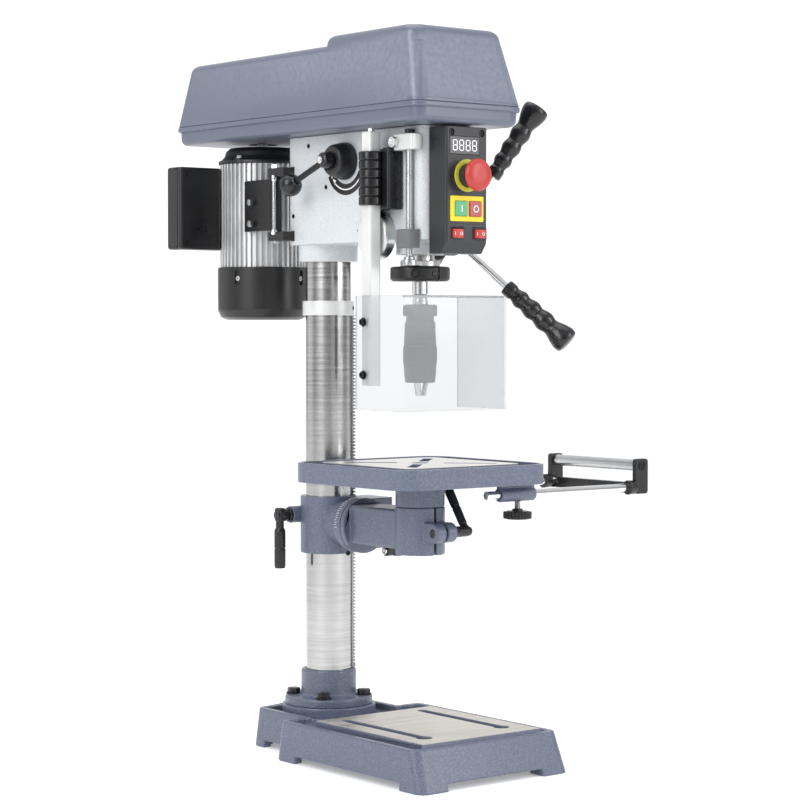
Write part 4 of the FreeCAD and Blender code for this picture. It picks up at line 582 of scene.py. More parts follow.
black_moulding = finish("black_moulding", "black_plastic", "1b1b1d", "131315", 0.34, depth=0.16, grain=900.0)
box_moulding = finish("box_moulding", "black_plastic", "2a2b2f", "232428", 0.42, depth=0.2, grain=800.0)
grey_moulding = finish("grey_moulding", "black_plastic", "6c6d6f", "626365", 0.5, depth=0.2)
black_enamel = finish("black_enamel", "black_paint", "1d1d1f", "161617", 0.38, depth=0.2, wear="3a3a3c",
                      grain=600.0)
black_oxide = finish("black_oxide", "dark_steel", "1d1e20", "131416", 0.36, metal=0.5, depth=0.15,
                     wear="4a4b4e")
grip_moulding = finish("grip_moulding", "black_plastic", "17171a", "101012", 0.24, depth=0.08, patch=30.0)
yellow_plastic = finish("yellow_plastic", "yellow_plastic", "f2d51c", "e6c514", 0.4, depth=0.1)
ring_yellow = finish("ring_yellow", "yellow_plastic", "cfc93f", "bdb736", 0.45, depth=0.1)
red_plastic = finish("red_plastic", "red_plastic", "bb3a33", "ad302a", 0.36, depth=0.12, patch=40.0)
stop_plastic = finish("stop_plastic", "red_plastic", "b55a5c", "a64c50", 0.4, depth=0.1)
green_plastic = finish("green_plastic", "green_plastic", "5fae7c", "4f9e6c", 0.4, depth=0.1)
white_print = finish("white_print", "alloy", "f0f0f0", "dddddd", 0.5, depth=0.05)
belt_rubber = finish("belt_rubber", "belt_rubber", "202022", "161618", 0.7, depth=0.3)
deep_black = finish("deep_black", "black_plastic", "050505", "030303", 0.7, depth=0.1)

# %% [markdown]
# The display shows lit figures behind dark glass, and the guard is clear acrylic. The figures glow a little,
# and the acrylic lets light straight through with a faint grey body, because a thin bent sheet hardly bends
# the view.
# %% Light and clear finishes


def clear_finish(name, slot, colour, alpha, rough):
    material = finish(name, slot, colour, colour, rough, depth=0.02, rough_spread=0.03)
    shader = [n for n in material.node_tree.nodes if n.type == "BSDF_PRINCIPLED"][0]
    shader.inputs["Alpha"].default_value = alpha
    material.surface_render_method = "BLENDED"
    return material


clear_acrylic = clear_finish("clear_acrylic", "clear_plastic", "b9bdbf", 0.26, 0.10)
acrylic_edge = clear_finish("acrylic_edge", "clear_plastic", "8f9496", 0.6, 0.12)
display_glass = finish("display_glass", "display_glass", "26272b", "1d1e22", 0.12, depth=0.02)
lit_figure = finish("lit_figure", "display_glass", "e8e8ea", "dcdce0", 0.4, depth=0.02)
glow = [n for n in lit_figure.node_tree.nodes if n.type == "BSDF_PRINCIPLED"][0]
glow.inputs["Emission Color"].default_value = tone("f2f2f6")
glow.inputs["Emission Strength"].default_value = 0.35

# %% [markdown]
# ## Studio
# A catalogue picture of a machine uses large soft lamps and a white floor. Polished steel shows only what is
# around it, so the surroundings have bright and dark bands, as the lamps and gaps of a real studio do.
# %% Floor, lamps and camera


def studio_world():
    world = bpy.data.worlds.new("studio")
    bpy.context.scene.world = world
    world.use_nodes = True
    tree = world.node_tree
    where = add(tree, "ShaderNodeTexCoord").outputs["Generated"]
    bands = add(tree, "ShaderNodeTexGradient", {"Vector": where}, gradient_type="RADIAL")
    ramp = add(tree, "ShaderNodeValToRGB", {"Fac": bands.outputs["Fac"]})
    stops = [(0.00, 0.9), (0.06, 1.25), (0.11, 0.35), (0.17, 0.22), (0.22, 1.2), (0.28, 1.25), (0.34, 0.45),
             (0.42, 0.30), (0.48, 1.15), (0.54, 0.40), (0.59, 1.32), (0.71, 1.32), (0.75, 0.28), (0.80, 1.2),
             (0.88, 1.2), (0.94, 0.35), (1.00, 0.9)]
    ends = ramp.color_ramp.elements
    while len(ends) < len(stops):
        ends.new(0.5)
    for end, (spot, value) in zip(ends, stops):
        end.position = spot
        end.color = (value, value, value * 1.01, 1.0)
    parts = add(tree, "ShaderNodeSeparateXYZ", {"Vector": where})
    height = add(tree, "ShaderNodeMapRange", {"Value": parts.outputs["Z"], "From Min": 0.25, "From Max": 0.7})
    sides = blended(tree, height.outputs[0], ramp.outputs["Color"], (0.95, 0.96, 0.98, 1.0))
    back = [n for n in tree.nodes if n.type == "BACKGROUND"][0]
    tree.links.new(sides, back.inputs["Color"])
    back.inputs["Strength"].default_value = 0.85


def lamp(name, spot, target, size, power):
    light = bpy.data.lights.new(name, "AREA")
    light.shape = "RECTANGLE"
    light.size, light.size_y = size
    light.energy = power
    thing = bpy.data.objects.new(name, light)
    thing.location = spot
    thing.rotation_euler = (Vector(target) - Vector(spot)).to_track_quat("-Z", "Y").to_euler()
    bpy.context.scene.collection.objects.link(thing)


studio_world()
lamp("key_left", (-2.6, -0.6, 1.9), (0, -0.1, 0.5), (1.2, 2.2), 42)
lamp("fill_right", (1.4, -2.8, 1.5), (0, -0.1, 0.5), (1.4, 2.0), 40)
lamp("top_soft", (0.0, 0.2, 3.0), (0, 0, 0.5), (2.4, 2.4), 30)

ROOM = 9000
floor = solid("studio_floor", [(*spot, 0) for spot in square(-ROOM, ROOM, -ROOM, ROOM)], [(0, 1, 2, 3)])
paper = finish("studio_floor", "none", "f6f6f6", "f1f1f1", 0.85, depth=0.02, patch=1.0)
sheet = [n for n in paper.node_tree.nodes if n.type == "BSDF_PRINCIPLED"][0]
sheet.inputs["Emission Color"].default_value = tone("ffffff")
sheet.inputs["Emission Strength"].default_value = 0.28
painted(floor, paper)

SENSOR, PICTURE, FOCAL = 36.0, 800, 2334.622
VIEW_DOWN, VIEW_TURN = 1.89740, -38.27598
camera = bpy.data.cameras.new("view")
camera.sensor_width = SENSOR
camera.lens = FOCAL * SENSOR / PICTURE
camera.clip_end = 100.0
viewer = bpy.data.objects.new("view", camera)
viewer.location = (-1.837906, -2.481964, 0.560285)
viewer.rotation_euler = (math.radians(90 - VIEW_DOWN), 0.0, math.radians(VIEW_TURN))
bpy.context.scene.collection.objects.link(viewer)
bpy.context.scene.camera = viewer
bpy.context.scene.view_settings.view_transform = "Standard"

# %% [markdown]
# ## Base casting
# The base is one hollow casting: four feet, leaning walls, a rim that keeps coolant in, and a raised pad that
# is ground flat after casting. The CAD shape is already right, so its copy only gets rounded edges, and the
# pad's upper faces take the bare iron finish. The faces are picked by where they are, which survives any edit
# above.
# %% Base
base_low, base_high = corners("base")
base = painted(copied("base", 2.2, segments=3), cast_enamel)
PAD_TOP = 54.8
painted(base, ground_iron, lambda spot, facing: abs(spot.z - PAD_TOP) < 0.4 and facing.z > 0.9)
fitted(base, "root", "base")


def kept(node, material):
    """A CAD node whose shape is right keeps it and takes a better finish."""
    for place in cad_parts[node].material_slots:
        place.material = material


def hexagon(name, across, height, centre=(0, 0, 0), axis=(0, 0, 1)):
    """A hexagon head with the chamfer that lets a spanner slip on."""
    radius = across / math.sqrt(3)
    head = turned(name, bar(radius, 0, height), centre, axis, 0, sides=6)
    cap = turned(name, [(0, 0), (radius + 1, 0), (radius + 1, height * 0.75), (radius * 0.84, height),
                        (0, height)],
                 centre, axis, 0, sides=36)
    return carved(head, cap, how="INTERSECT")


def cap_screw(name, radius, height, centre, axis, socket=0.5):
    """A round screw head with a hexagon socket, seated on a surface at the centre."""
    head = turned(name, bar(radius, 0, height), centre, axis, radius * 0.22, sides=32)
    well = turned(name, [(0, height * 0.35), (radius * socket, height * 0.35), (radius * socket, height + 1),
                         (0, height + 1)], centre, axis, 0, sides=6)
    return carved(head, well)


# %% [markdown]
# ## Flange, bolts and column
# A turned flange clamps the column to the base with four bolts. The bolts repeat in a ring, which is a job
# for the ring tree: one bolt with its washer is modelled and set at four places. The column is a ground tube.
# %% Flange and column
flange = painted(copied("column_flange", 1.2, segments=3), cast_enamel)
fitted(flange, "root", "column_flange")
BOLT_SEAT = 68.0
one_bolt = merged("one_bolt",
                  turned("washer", bar(10.5, BOLT_SEAT, BOLT_SEAT + 1.6)),
                  hexagon("bolt_head", 15, 6.2, (0, 0, BOLT_SEAT + 1.4)),
                  turned("shank", bar(4.9, 49.2, BOLT_SEAT + 1), sides=24))
bolts = ringed("base_bolts", one_bolt, black_oxide, 4, 47, (0, 0, 0), start=45)
fitted(bolts, "root", "flange_bolts")
column = turned("column_tube", [(27, 57.2), (30, 57.2), (30, column_high.z), (27, column_high.z)], ring=True,
                sides=128)
fitted(painted(column, column_steel), "root", "column")
ring_low, ring_high = corners("rack_ring")
ring_rise = ring_high.z - ring_low.z
ring = turned("rack_collar", [(30.05, 0, 0.2), (34, 0), (34, ring_rise), (30.05, ring_rise, 0.2)],
              (0, 0, ring_low.z), ring=True, ease=1.2)
fitted(painted(ring, white_metal), "root", "rack_ring")
heading = math.radians(-52)
pin_way = (math.cos(heading), math.sin(heading), 0)
fitted(painted(cap_screw("collar_screw", 3, 1.2,
                         [v * 33.4 for v in pin_way[:2]] + [ring_low.z + ring_rise / 2], pin_way),
               black_oxide), "root")
kept("rack", rack_steel)
kept("lift_pinion", rack_steel)
print("base", [round(v) for v in base_high - base_low])

# %% [markdown]
# ## Table bracket
# The bracket slides on the column. Its round face carries a degree scale for tilting the table: short white
# marks, longer at every tenth degree, which are thin raised bars set round the rim by the ring tree.
# %% Bracket and tilt scale
fitted(painted(copied("table_bracket", 0.6), cast_enamel), "table_slide", "table_bracket")
TILT_AXIS, TILT_HEIGHT = (0, -1, 0), 297
for label, count, step, start, reach in (("fine", 19, 5, 92, 3.2), ("tens", 10, 10, 92, 5.2)):
    mark = plate("mark", square(35.8, 36.25, -0.3, 0.3), 60.8, 60.8 + reach)
    marks = ringed("tilt_marks_" + label, mark, white_print, count, 0, (0, 0, TILT_HEIGHT), TILT_AXIS,
                   start=start,
                   step=step)
    fitted(marks, "table_slide")
fitted(painted(cap_screw("bracket_screw", 3.4, 1.6, (-22.5, -71.8, 262), (0, -1, 0)), black_oxide),
       "table_slide")


# %% [markdown]
# ## Levers
# Each lever is a turned bar with a waist where the fingers go. A lathe profile along the lever's own axis
# gives the shape in one step, and the grooves round the bar are part of that profile.
# %% Column lock, crank and clamp levers
LOCK = Vector((-62, 24, 0))
CLAMP = (-237, 298.5)
lock = merged(
    "column_lock",
    turned("lock_grip", [(0, 237), (6.6, 237), (7.4, 241), (7.5, 262), (6.9, 262.6), (6.9, 263.8),
                         (7.5, 264.4),
                         (7.4, 286), (6.4, 289), (5.4, 290), (5.4, 299), (6.6, 300), (6.9, 314), (5.6, 316.5),
                         (0, 316.5)], LOCK),
    turned("lock_hub", [(0, 0), (5.2, 0), (5.2, 6), (8, 7), (8.4, 12), (8, 17), (6, 19), (6, 24), (0, 24)],
           (-44, 24, 307), (-1, 0, 0)),
    turned("lock_nut", [(0, 0), (9.5, 0), (9.5, 3), (8.5, 4), (0, 4)], (-46.2, 24, 307), (-1, 0, 0)))
fitted(painted(lock, black_moulding), "column_lock", "column_lock_lever")
fitted(painted(copied("table_crank", 1.0), black_enamel), "crank", "table_crank")
grip_low, grip_high = corners("crank_grip")
grip_axis = middle("crank_grip")
GRIP_LONG = grip_high.x - grip_low.x
crank_grip = turned("crank_handle",
                    [(3.1, 0, 0.2), (6, 0), (7.4, 3), (8.4, 14, 6), (6.9, 34, 12), (8.3, 54, 8),
                                     (7.8, 64), (5.5, 71.6), (3.1, GRIP_LONG, 0.2)],
                    (grip_low.x, grip_axis.y, grip_axis.z), (1, 0, 0), ring=True)
fitted(painted(crank_grip, black_moulding), "crank_handle", "crank_grip")
for name, x, way in (("crank_pin_end", grip_high.x - 0.3, 1), ("crank_pin_head", 64.2, -1)):
    fitted(painted(cap_screw(name, 5, 3, (x, grip_axis.y, grip_axis.z), (way, 0, 0)), chrome), "crank")
fitted(painted(copied("table_arm", 1.8, segments=3), cast_enamel), "tilting_arm", "table_arm")
lean = math.radians(55)
clamp_lever = merged(
    "table_clamp",
    turned("clamp_grip", [(0, -4), (4.6, -4), (5.6, 0), (5.8, 4), (4.6, 8), (4.6, 10), (5.2, 11), (5.5, 34),
                          (4.8, 34.8), (4.8, 36), (5.6, 36.8), (6, 57), (5, 61), (0, 61)],
           (39.5, *CLAMP), (0, math.cos(lean), math.sin(lean))),
    turned("clamp_hub", [(0, 0), (8, 0), (8, 3), (7, 8), (6.6, 24), (5.6, 29), (0, 29)], (16.3, *CLAMP),
           (1, 0, 0)),
    turned("clamp_stud", bar(4.9, 0, 32), (-14.8, *CLAMP), (1, 0, 0), sides=24))
fitted(painted(clamp_lever, black_moulding), "table_clamp", "table_clamp_lever")
fitted(painted(cap_screw("clamp_lever_screw", 3.2, 2.2, (39.5 + 5.2, *CLAMP), (1, 0, 0)), chrome),
       "table_clamp")

# %% [markdown]
# ## Table and its roller extension
# The table is cast like the base, with a ground pad inside a rim. Two rods slide under it and carry a steel
# roller between black moulded cheeks. The thumb screw has a scalloped edge, which is a ring of small ribs.
# %% Table
TABLE_TOP = 384.0
REACH = 193.5
SPINDLE = Vector((0, -REACH, 0))
table_half = 92
table = painted(copied("table", 1.3, segments=3), cast_enamel)
painted(table, table_iron, lambda spot, facing: spot.z > TABLE_TOP - 0.4 and facing.z > 0.9
        and abs(spot.x) < table_half and abs(spot.y + REACH) < table_half)
fitted(table, "table_top", "table")
rods_low, rods_high = corners("extension_rods")
ROD_RADIUS = 5.3
rod_length = rods_high.x - rods_low.x
one_rod = turned("one_rod", bar(ROD_RADIUS, 0, rod_length),
                 (rods_low.x, rods_low.y + ROD_RADIUS, rods_low.z + ROD_RADIUS), (1, 0, 0), ease=1.2,
                 sides=40)
rod_pair = row("extension_bars", one_rod, chrome, 2, (0, rods_high.y - rods_low.y - 2 * ROD_RADIUS, 0))
fitted(rod_pair, "extension", "extension_rods")
fitted(painted(copied("extension_frame", 0.8, segments=3), black_moulding), "extension", "extension_frame")
frame_low, frame_high = corners("extension_frame")
roller_low, roller_high = corners("roller")
roller_mid = middle("roller")
roller_long = roller_high.y - roller_low.y
roller = turned("roller_tube", [(3.1, 0, 0.2), (7.5, 0), (7.5, roller_long), (3.1, roller_long, 0.2)],
                (roller_mid.x, roller_low.y, roller_mid.z), (0, 1, 0), ring=True, ease=1.0)
fitted(painted(roller, zinc_steel), "roller_body", "roller")
for side, y in ((-1, frame_low.y), (1, frame_high.y)):
    eye = merged("cheek_eye", turned("eye_rim", [(3.4, 0), (6.6, 0), (6.6, 1.2), (3.4, 1.2)],
                                     (roller_mid.x, y - side * 0.3, roller_mid.z), (0, side, 0), 0.4,
                                     ring=True),
                 turned("eye_pin", bar(3, 0, 0.9), (roller_mid.x, y - side * 0.4, roller_mid.z),
                        (0, side, 0)))
    fitted(painted(eye, black_oxide), "extension")
    boss = turned("cheek_boss", [(0, 0), (9.5, 0), (9, 12), (7, 14), (0, 14)],
                  (frame_low.x - 13, y + side * -3.5, 345), (1, 0, 0), 1.5)
    fitted(painted(boss, black_moulding), "extension")
knob_low = corners("extension_lock_screw")[0]
knob_mid = middle("extension_lock_screw")
rib = turned("knob_rib", bar(2.0, 0.8, 9.6), (0, 0, knob_low.z), ease=1.2, sides=12)
knob = merged("thumb_knob",
              turned("knob_disc", [(0, 0), (14, 0), (16.4, 1.5), (16.4, 9), (14, 10.4), (7, 10.4), (6.4, 13),
                                                 (3.4, 13.5), (3.4, 25.8), (0, 25.8)], (0, 0, knob_low.z)),
              ringed("knob_ribs", rib, black_moulding, 24, 16, (0, 0, 0)))
knob.data.transform(Matrix.Translation(Vector((knob_mid.x, knob_mid.y, 0)) * MM))
fitted(painted(knob, black_moulding), "extension_lock", "extension_lock_screw")
thread = turned("knob_thread",
                [(3.45, 0, 0.1)] + [(3.45 + 0.35 * (k % 2), 0.55 * k, 0.1) for k in range(1, 16)]
                + [(3.4, 9, 0.1)], (knob_mid.x, knob_mid.y, knob_low.z + 13.6), ease=0.1, sides=28)
fitted(painted(thread, zinc_steel), "extension_lock")
print("table top at", round(corners("table")[1].z, 1))

# %% [markdown]
# ## Head casting
# The head is one grey casting that holds the column socket, the quill bore and the hinge lugs of the motor.
# The lugs are painted black with the motor, and the guide for the depth rod is a grey moulding, so three
# finishes share the copy of the casting and are told apart by place.
# %% Head
head = painted(copied("head_casting", 1.8, segments=3), head_enamel)
painted(head, black_enamel, lambda spot, facing: spot.y > 36.4 or (spot.x < -42.4 and spot.y > 10))
painted(head, grey_moulding, lambda spot, facing: spot.x < -42.6 and spot.y < -216 and 651 < spot.z < 676)
fitted(head, "root", "head_casting")
HEAD_SIDE = -42.0
hinge = merged("motor_hinge", turned("hinge_pin", bar(3.9, 0, 102), (-52, 46, 665)),
               hexagon("hinge_head", 11, 5, (-52, 46, 764)),
               turned("tension_rod", [(0, 0), (2.2, 0), (2.2, 64), (3.4, 66), (3.4, 72), (0, 72)],
                      (-61.5, 37, 682)),
               turned("tension_ball", [(0, 0), (3, 0.6), (4.4, 3), (4.6, 4.6), (4.2, 6.4), (2.4, 8.6),
                                       (0, 9)],
                      (-61.5, 37, 675), ease=1.0))
fitted(painted(hinge, chrome), "root", "motor_hinge_pin")
for y, z in ((-52, 735), (-14, 790), (20, 700)):
    fitted(painted(cap_screw("head_screw", 2.8, 0.8, (HEAD_SIDE - 0.1, y, z), (-1, 0, 0)), black_oxide),
           "root")


# %% [markdown]
# ## Speed lever and its scale
# A rubber-covered cone sits on the side of the head, and a ball lever turns it. The curved label under it is
# an annular sector with an arrow, cut as thin plates that lie on the casting.
# %% Speed lever


def sector(name, centre, inner, outer, first, last, low, high):
    """A curved plate on the head's left face; angles in degrees, 0 towards the operator and 90 up."""
    steps = 28
    turns = [math.radians(first + (last - first) * k / steps) for k in range(steps + 1)]
    outline = [(centre[0] - outer * math.cos(t), centre[1] + outer * math.sin(t)) for t in turns]
    outline += [(centre[0] - inner * math.cos(t), centre[1] + inner * math.sin(t)) for t in reversed(turns)]
    return plate(name, outline, low, high, "X")


SPEED = (-96, 766)
fitted(painted(sector("speed_label", SPEED, 29, 43, 206, 334, HEAD_SIDE - 0.5, HEAD_SIDE + 0.2),
               black_moulding), "root")
print_x = (HEAD_SIDE - 0.8, HEAD_SIDE - 0.4)
tip_turn = math.radians(222)
tip = (SPEED[0] - 36 * math.cos(tip_turn), SPEED[1] + 36 * math.sin(tip_turn))
arrow = merged("speed_arrow", sector("arrow_line", SPEED, 35.2, 36.8, 226, 318, *print_x),
               plate("arrow_head", [(tip[0] + 1.5, tip[1] + 2.8), (tip[0] - 5.2, tip[1] + 0.6),
                                    (tip[0] - 2.2, tip[1] - 5.0)],
                     *print_x, "X"),
               sector("minus", SPEED, 35.4, 36.6, 210, 215, *print_x),
               sector("plus", SPEED, 35.4, 36.6, 325, 331, *print_x),
               sector("plus_bar", SPEED, 33.2, 38.8, 327.3, 328.9, *print_x))
fitted(painted(arrow, white_print), "root")
knob_way = Vector((0, math.cos(math.radians(-20)), math.sin(math.radians(-20))))
ARM_START = Vector((-75, *SPEED))
ball_spot = ARM_START + knob_way * 66
speed = merged(
    "speed_lever_set",
    painted(turned("speed_cone",
                   [(0, 0), (23.5, 0), (24, 3), (23.2, 9), (20, 22), (17.6, 25), (12, 25.4), (11.6, 24),
                                  (0, 24)], (HEAD_SIDE - 0.3, *SPEED), (-1, 0, 0), 1.6), black_moulding),
    painted(turned("speed_hub", [(0, 22), (10.2, 22), (10.4, 30), (9.6, 39), (6.4, 41.4), (0, 41.4)],
                   (HEAD_SIDE, *SPEED), (-1, 0, 0), 1.4), grip_moulding),
    painted(turned("speed_cap", [(0, 0), (4.6, 0), (4.6, 2.4), (2.2, 3), (1.4, 1.4), (0, 1.4)],
                   (HEAD_SIDE - 41, *SPEED),
                   (-1, 0, 0), 0.6), chrome),
    painted(turned("speed_arm", [(0, 0), (5.2, 0), (5.2, 10), (3.9, 14), (3.9, 70), (0, 70)], ARM_START,
                   knob_way),
            black_oxide),
    painted(turned("speed_ball", [(0, 0), (5.6, 0), (6.4, 1.6)]
                   + [(15 * math.sin(math.radians(a)), 15.6 - 15 * math.cos(math.radians(a)))
                      for a in range(30, 180, 10)]
                   + [(0, 30.6)], ball_spot, knob_way, 0.6), grip_moulding),
    painted(turned("speed_shaft", bar(7.9, 0, 15), (HEAD_SIDE - 1, *SPEED), (1, 0, 0)),
            zinc_steel))
fitted(speed, "speed_selector", "speed_lever", slot="black_plastic")

# %% [markdown]
# ## Return spring housing and feed handles
# The quill returns by a flat spring in a round cup on the left. On the right, a hub carries three bright
# spokes with finger grips. A grip is a lathe profile whose radius swells and shrinks, ending in a flared
# knob.
# %% Spring cup and feed handles
FEED_Y, FEED_Z = FEED = middle("return_spring_cap").yz
cup = turned("spring_cup", [(28, 0, 0.3), (30.5, 0), (30.5, 12.6), (27.6, 16, 2.5), (0, 16, 0), (0, 13.5, 0),
                            (28, 13.5, 1)],
             (HEAD_SIDE - 0.05, *FEED), (-1, 0, 0), 0.8, ring=True)
painted(painted(cup, zinc_steel), white_metal, lambda spot, facing: facing.x < -0.7)
fitted(cup, "root", "return_spring_cap", slot="alloy")
fitted(painted(hexagon("spring_nut", 17, 6, (HEAD_SIDE - 16.2, *FEED), (-1, 0, 0)), black_oxide), "root")
stud = turned("spring_stud", [(0, 0), (5, 0), (5, 3), (3, 5.4), (0, 5.4)], (HEAD_SIDE - 22, *FEED),
              (-1, 0, 0))
fitted(painted(stud, chrome), "root")
stop_pin = turned("spring_pin", [(0, 0), (3, 0), (3, 9), (2, 10), (0, 10)],
                  (HEAD_SIDE, FEED_Y + 33.8, FEED_Z + 7), (-1, 0, 0))
fitted(painted(stop_pin, black_oxide), "root")
kept("return_spring", black_oxide)
hub = merged("feed_hub_set",
             painted(turned("hub_body",
                            [(0, 0), (17, 0), (22.6, 4), (23, 22), (23, 34), (19, 40.4), (0, 40.7)],
                            (43.3, *FEED), (1, 0, 0), 2.2), black_oxide),
             painted(turned("hub_shaft", bar(7.9, 0, 94), (-50, *FEED), (1, 0, 0)), zinc_steel),
             painted(turned("hub_cap", [(0, 0), (9, 0), (8.4, 2.6), (0, 3.2)], (83.6, *FEED), (1, 0, 0)),
                     chrome))
fitted(hub, "feed_handles", "feed_hub", slot="dark_steel")
FLARE = math.radians(28)
HUB_CENTRE = Vector((74, *FEED))
grip_profile = [(0, 0), (9.2, 0), (10.2, 1.5), (10.4, 11), (8.6, 14.5, 2), (9.4, 18, 3), (12.4, 25, 5),
                (9.6, 33, 6),
                (10.4, 36, 3), (13.2, 45, 6), (10.2, 54, 6), (11, 57, 3), (13.8, 66, 6), (10.8, 76, 7),
                (11.4, 80, 4),
                (15.4, 90, 8), (17.4, 100, 5), (16, 106.5, 4), (8, 108.6, 3), (0, 108.8)]
spokes, grips = [], []
for n in range(3):
    turn = math.radians(-49 + 120 * n)
    along = Vector((math.sin(FLARE), -math.cos(FLARE) * math.cos(turn), math.cos(FLARE) * math.sin(turn)))
    spokes.append(turned("one_spoke", bar(4.9, 0, 104), HUB_CENTRE + along * 8, along, sides=40))
    spokes.append(turned("spoke_nut", [(0, 0), (8, 0), (8, 6), (6.6, 8), (0, 8)], HUB_CENTRE + along * 19,
                         along, sides=6))
    grips.append(turned("one_grip", grip_profile, HUB_CENTRE + along * 94, along, ease=3, sides=48))
fitted(painted(merged("spoke_set", *spokes), chrome), "feed_handles", "feed_spokes")
fitted(painted(merged("grip_set", *grips), grip_moulding), "feed_handles", "feed_grips")
print("feed shaft at", round(FEED_Y, 1), round(FEED_Z, 1))

# %% [markdown]
# ## Quill, depth stop and spindle
# The quill slides down carrying the spindle. A black collar on its nose holds the depth rod, which has a
# millimetre scale: rows of short dark marks made by the row tree. A silver block clamps on the rod as a stop.
# %% Quill and depth stop
quill = turned("quill_tube", [(9, 612, 0.2), (18, 612), (18, 757.8), (9, 757.8, 0.2)], SPINDLE, ring=True)
fitted(painted(quill, column_steel), "quill_body", "quill")
kept("spindle_bearings", zinc_steel)
collar = turned("quill_collar",
                [(18.1, 612, 0.3), (34.5, 612), (37.6, 615), (37.6, 628), (36, 630.3), (18.1, 630.3, 0.3)],
                SPINDLE, ease=1.4, ring=True)
collar_cut = plate("collar_slot", square(-1.2, 1.2, -240, -205), 605, 640)
carved(collar, collar_cut)
fitted(painted(collar, black_enamel), "quill_body", "depth_collar")
for bearing, width in ((222, 6.0), (262, 5.0)):
    way = Vector((math.cos(math.radians(bearing)), math.sin(math.radians(bearing)), 0))
    spot = SPINDLE + way * 36.4 + Vector((0, 0, 621))
    fitted(painted(cap_screw("collar_bolt", width, 1.8, spot, way, 0.55), black_oxide), "quill_body")
rod = painted(copied("depth_rod", 0.7), zinc_steel)
painted(rod, black_moulding, lambda spot, facing: spot.z > 788)
fitted(rod, "quill_body", "depth_rod", slot="bright_steel")
SCALE_HEADING = 222
for label, count, pitch, wide in (("mm", 84, 1.0, 1.0), ("cm", 17, 5.0, 1.9)):
    sweep = [wide / 4 * (k / 3 - 1) for k in range(7)]
    outline = [(4.04 * math.cos(t), 4.04 * math.sin(t)) for t in sweep]
    outline += [(3.9 * math.cos(t), 3.9 * math.sin(t)) for t in reversed(sweep)]
    mark = plate("mark", outline, -0.14, 0.14)
    marks = row("depth_scale_" + label, mark, black_oxide, count, (0, 0, pitch), (-48, -232, 682),
                spin=SCALE_HEADING)
    fitted(marks, "quill_body")
stop = painted(copied("depth_stop", 1.0, segments=3), white_metal)
fitted(stop, "stop_block", "depth_stop")
screw_mid = middle("depth_stop_screw")
knurl = plate("knurl", square(6.2, 6.68, -0.22, 0.22), 0.8, 6)
stop_screw = merged("stop_screw_head",
                    turned("screw_head", [(0, 0), (6.4, 0), (6.4, 6.6), (4.2, 6.7), (3.6, 5.2), (0, 5.2)],
                           ease=0.6),
                    turned("screw_stem", bar(2.9, -7, 0.5), sides=24),
                    ringed("screw_knurl", knurl, chrome, 44, 0, (0, 0, 0)))
stop_screw.data.transform(Matrix.Translation(Vector((-60.3, screw_mid.y, screw_mid.z)) * MM)
                          @ aimed((-1, 0, 0)).to_4x4())
fitted(painted(stop_screw, chrome), "stop_screw", "depth_stop_screw")

# %% [markdown]
# ## Drill chuck
# A keyless chuck is a steel body inside a turned sleeve. The sleeve has a plain band, a shallow groove and a
# ribbed band for the hand, and three round jaws come out of the nose. The ribs are one small bar in a ring.
# %% Spindle and chuck
spindle = turned("spindle_bar",
                 [(0, 556), (7.4, 556), (7.4, 583), (10, 583), (10, 588), (9, 589), (9, 595), (10, 596),
                                 (10, 611.6), (8, 611.8), (8, 868), (6.5, 870), (0, 870)], SPINDLE, ease=0.4)
fitted(painted(spindle, chrome), "spindle_body", "spindle")
fitted(painted(copied("chuck_body", 0.8), chuck_steel), "spindle_body", "chuck_body")
sleeve = turned("chuck_sleeve_shell",
                [(17.7, 485, 0.2), (18.6, 485), (20.2, 496), (20.4, 506, 0.2), (20.9, 508), (20.9, 531),
                                       (20.2, 532, 0.2), (20.2, 541, 0.2), (20.9, 542), (19.6, 543.5),
                                       (19.4, 560.6),
                                       (17.7, 562, 0.2)], SPINDLE, ease=0.6, ring=True)
rib = plate("rib", square(20.6, 21.35, -0.42, 0.42), 509.5, 529.5)
ribs = ringed("chuck_ribs", rib, chuck_steel, 48, 0, SPINDLE)
fitted(painted(merged("chuck_sleeve_set", sleeve, ribs), chuck_steel), "chuck_shell", "chuck_sleeve")
top_rib = plate("top_rib", square(21.0, 21.6, -0.5, 0.5), 570.5, 580)
fitted(painted(ringed("chuck_top_ribs", top_rib, chuck_steel, 40, 0, SPINDLE), chuck_steel), "spindle_body")
for n in (1, 2, 3):
    kept(f"chuck_jaw_{n}", zinc_steel)

# %% [markdown]
# ## Motor
# The motor's housing is an extrusion with upright cooling fins: one fin in a ring around a plain barrel. A
# black end bell closes the top, and a black cover hides the fan below it, with air slots underneath. The
# capacitor box and the hinge plate sit on the sides.
# %% Motor
MOTOR = Vector((0, 150, 0))
BELL_TURN, FAN_TURN, BOLT_OUT = 20, 201, 54
barrel = turned("motor_barrel", bar(55, 634, 776), MOTOR, ease=0.3)
foot = chamfered(plate("motor_foot", square(-48, -20, 90, 142), 684, 748), 2.0)
fin = plate("fin", square(52, 59, -1.6, 1.6), 636, 775, ease=0.9)
fins = ringed("motor_fins", fin, fin_alloy, 48, 0, MOTOR)
fitted(painted(merged("motor_housing", barrel, foot, fins), fin_alloy), "motor", "motor_body")
bell = turned("motor_bell",
              [(0, 775), (60.6, 775), (60.6, 780), (57, 781), (52.5, 786), (50.5, 793), (45, 797.6),
                             (0, 797.6)], MOTOR, ease=1.6)
ear = turned("bell_ear", bar(7, 775, 782), (BOLT_OUT, 0, 0), ease=1.0, sides=32)
fitted(painted(merged("motor_top", bell,
                      ringed("bell_ears", ear, black_enamel, 4, 0, MOTOR, start=BELL_TURN)),
               black_enamel), "motor")
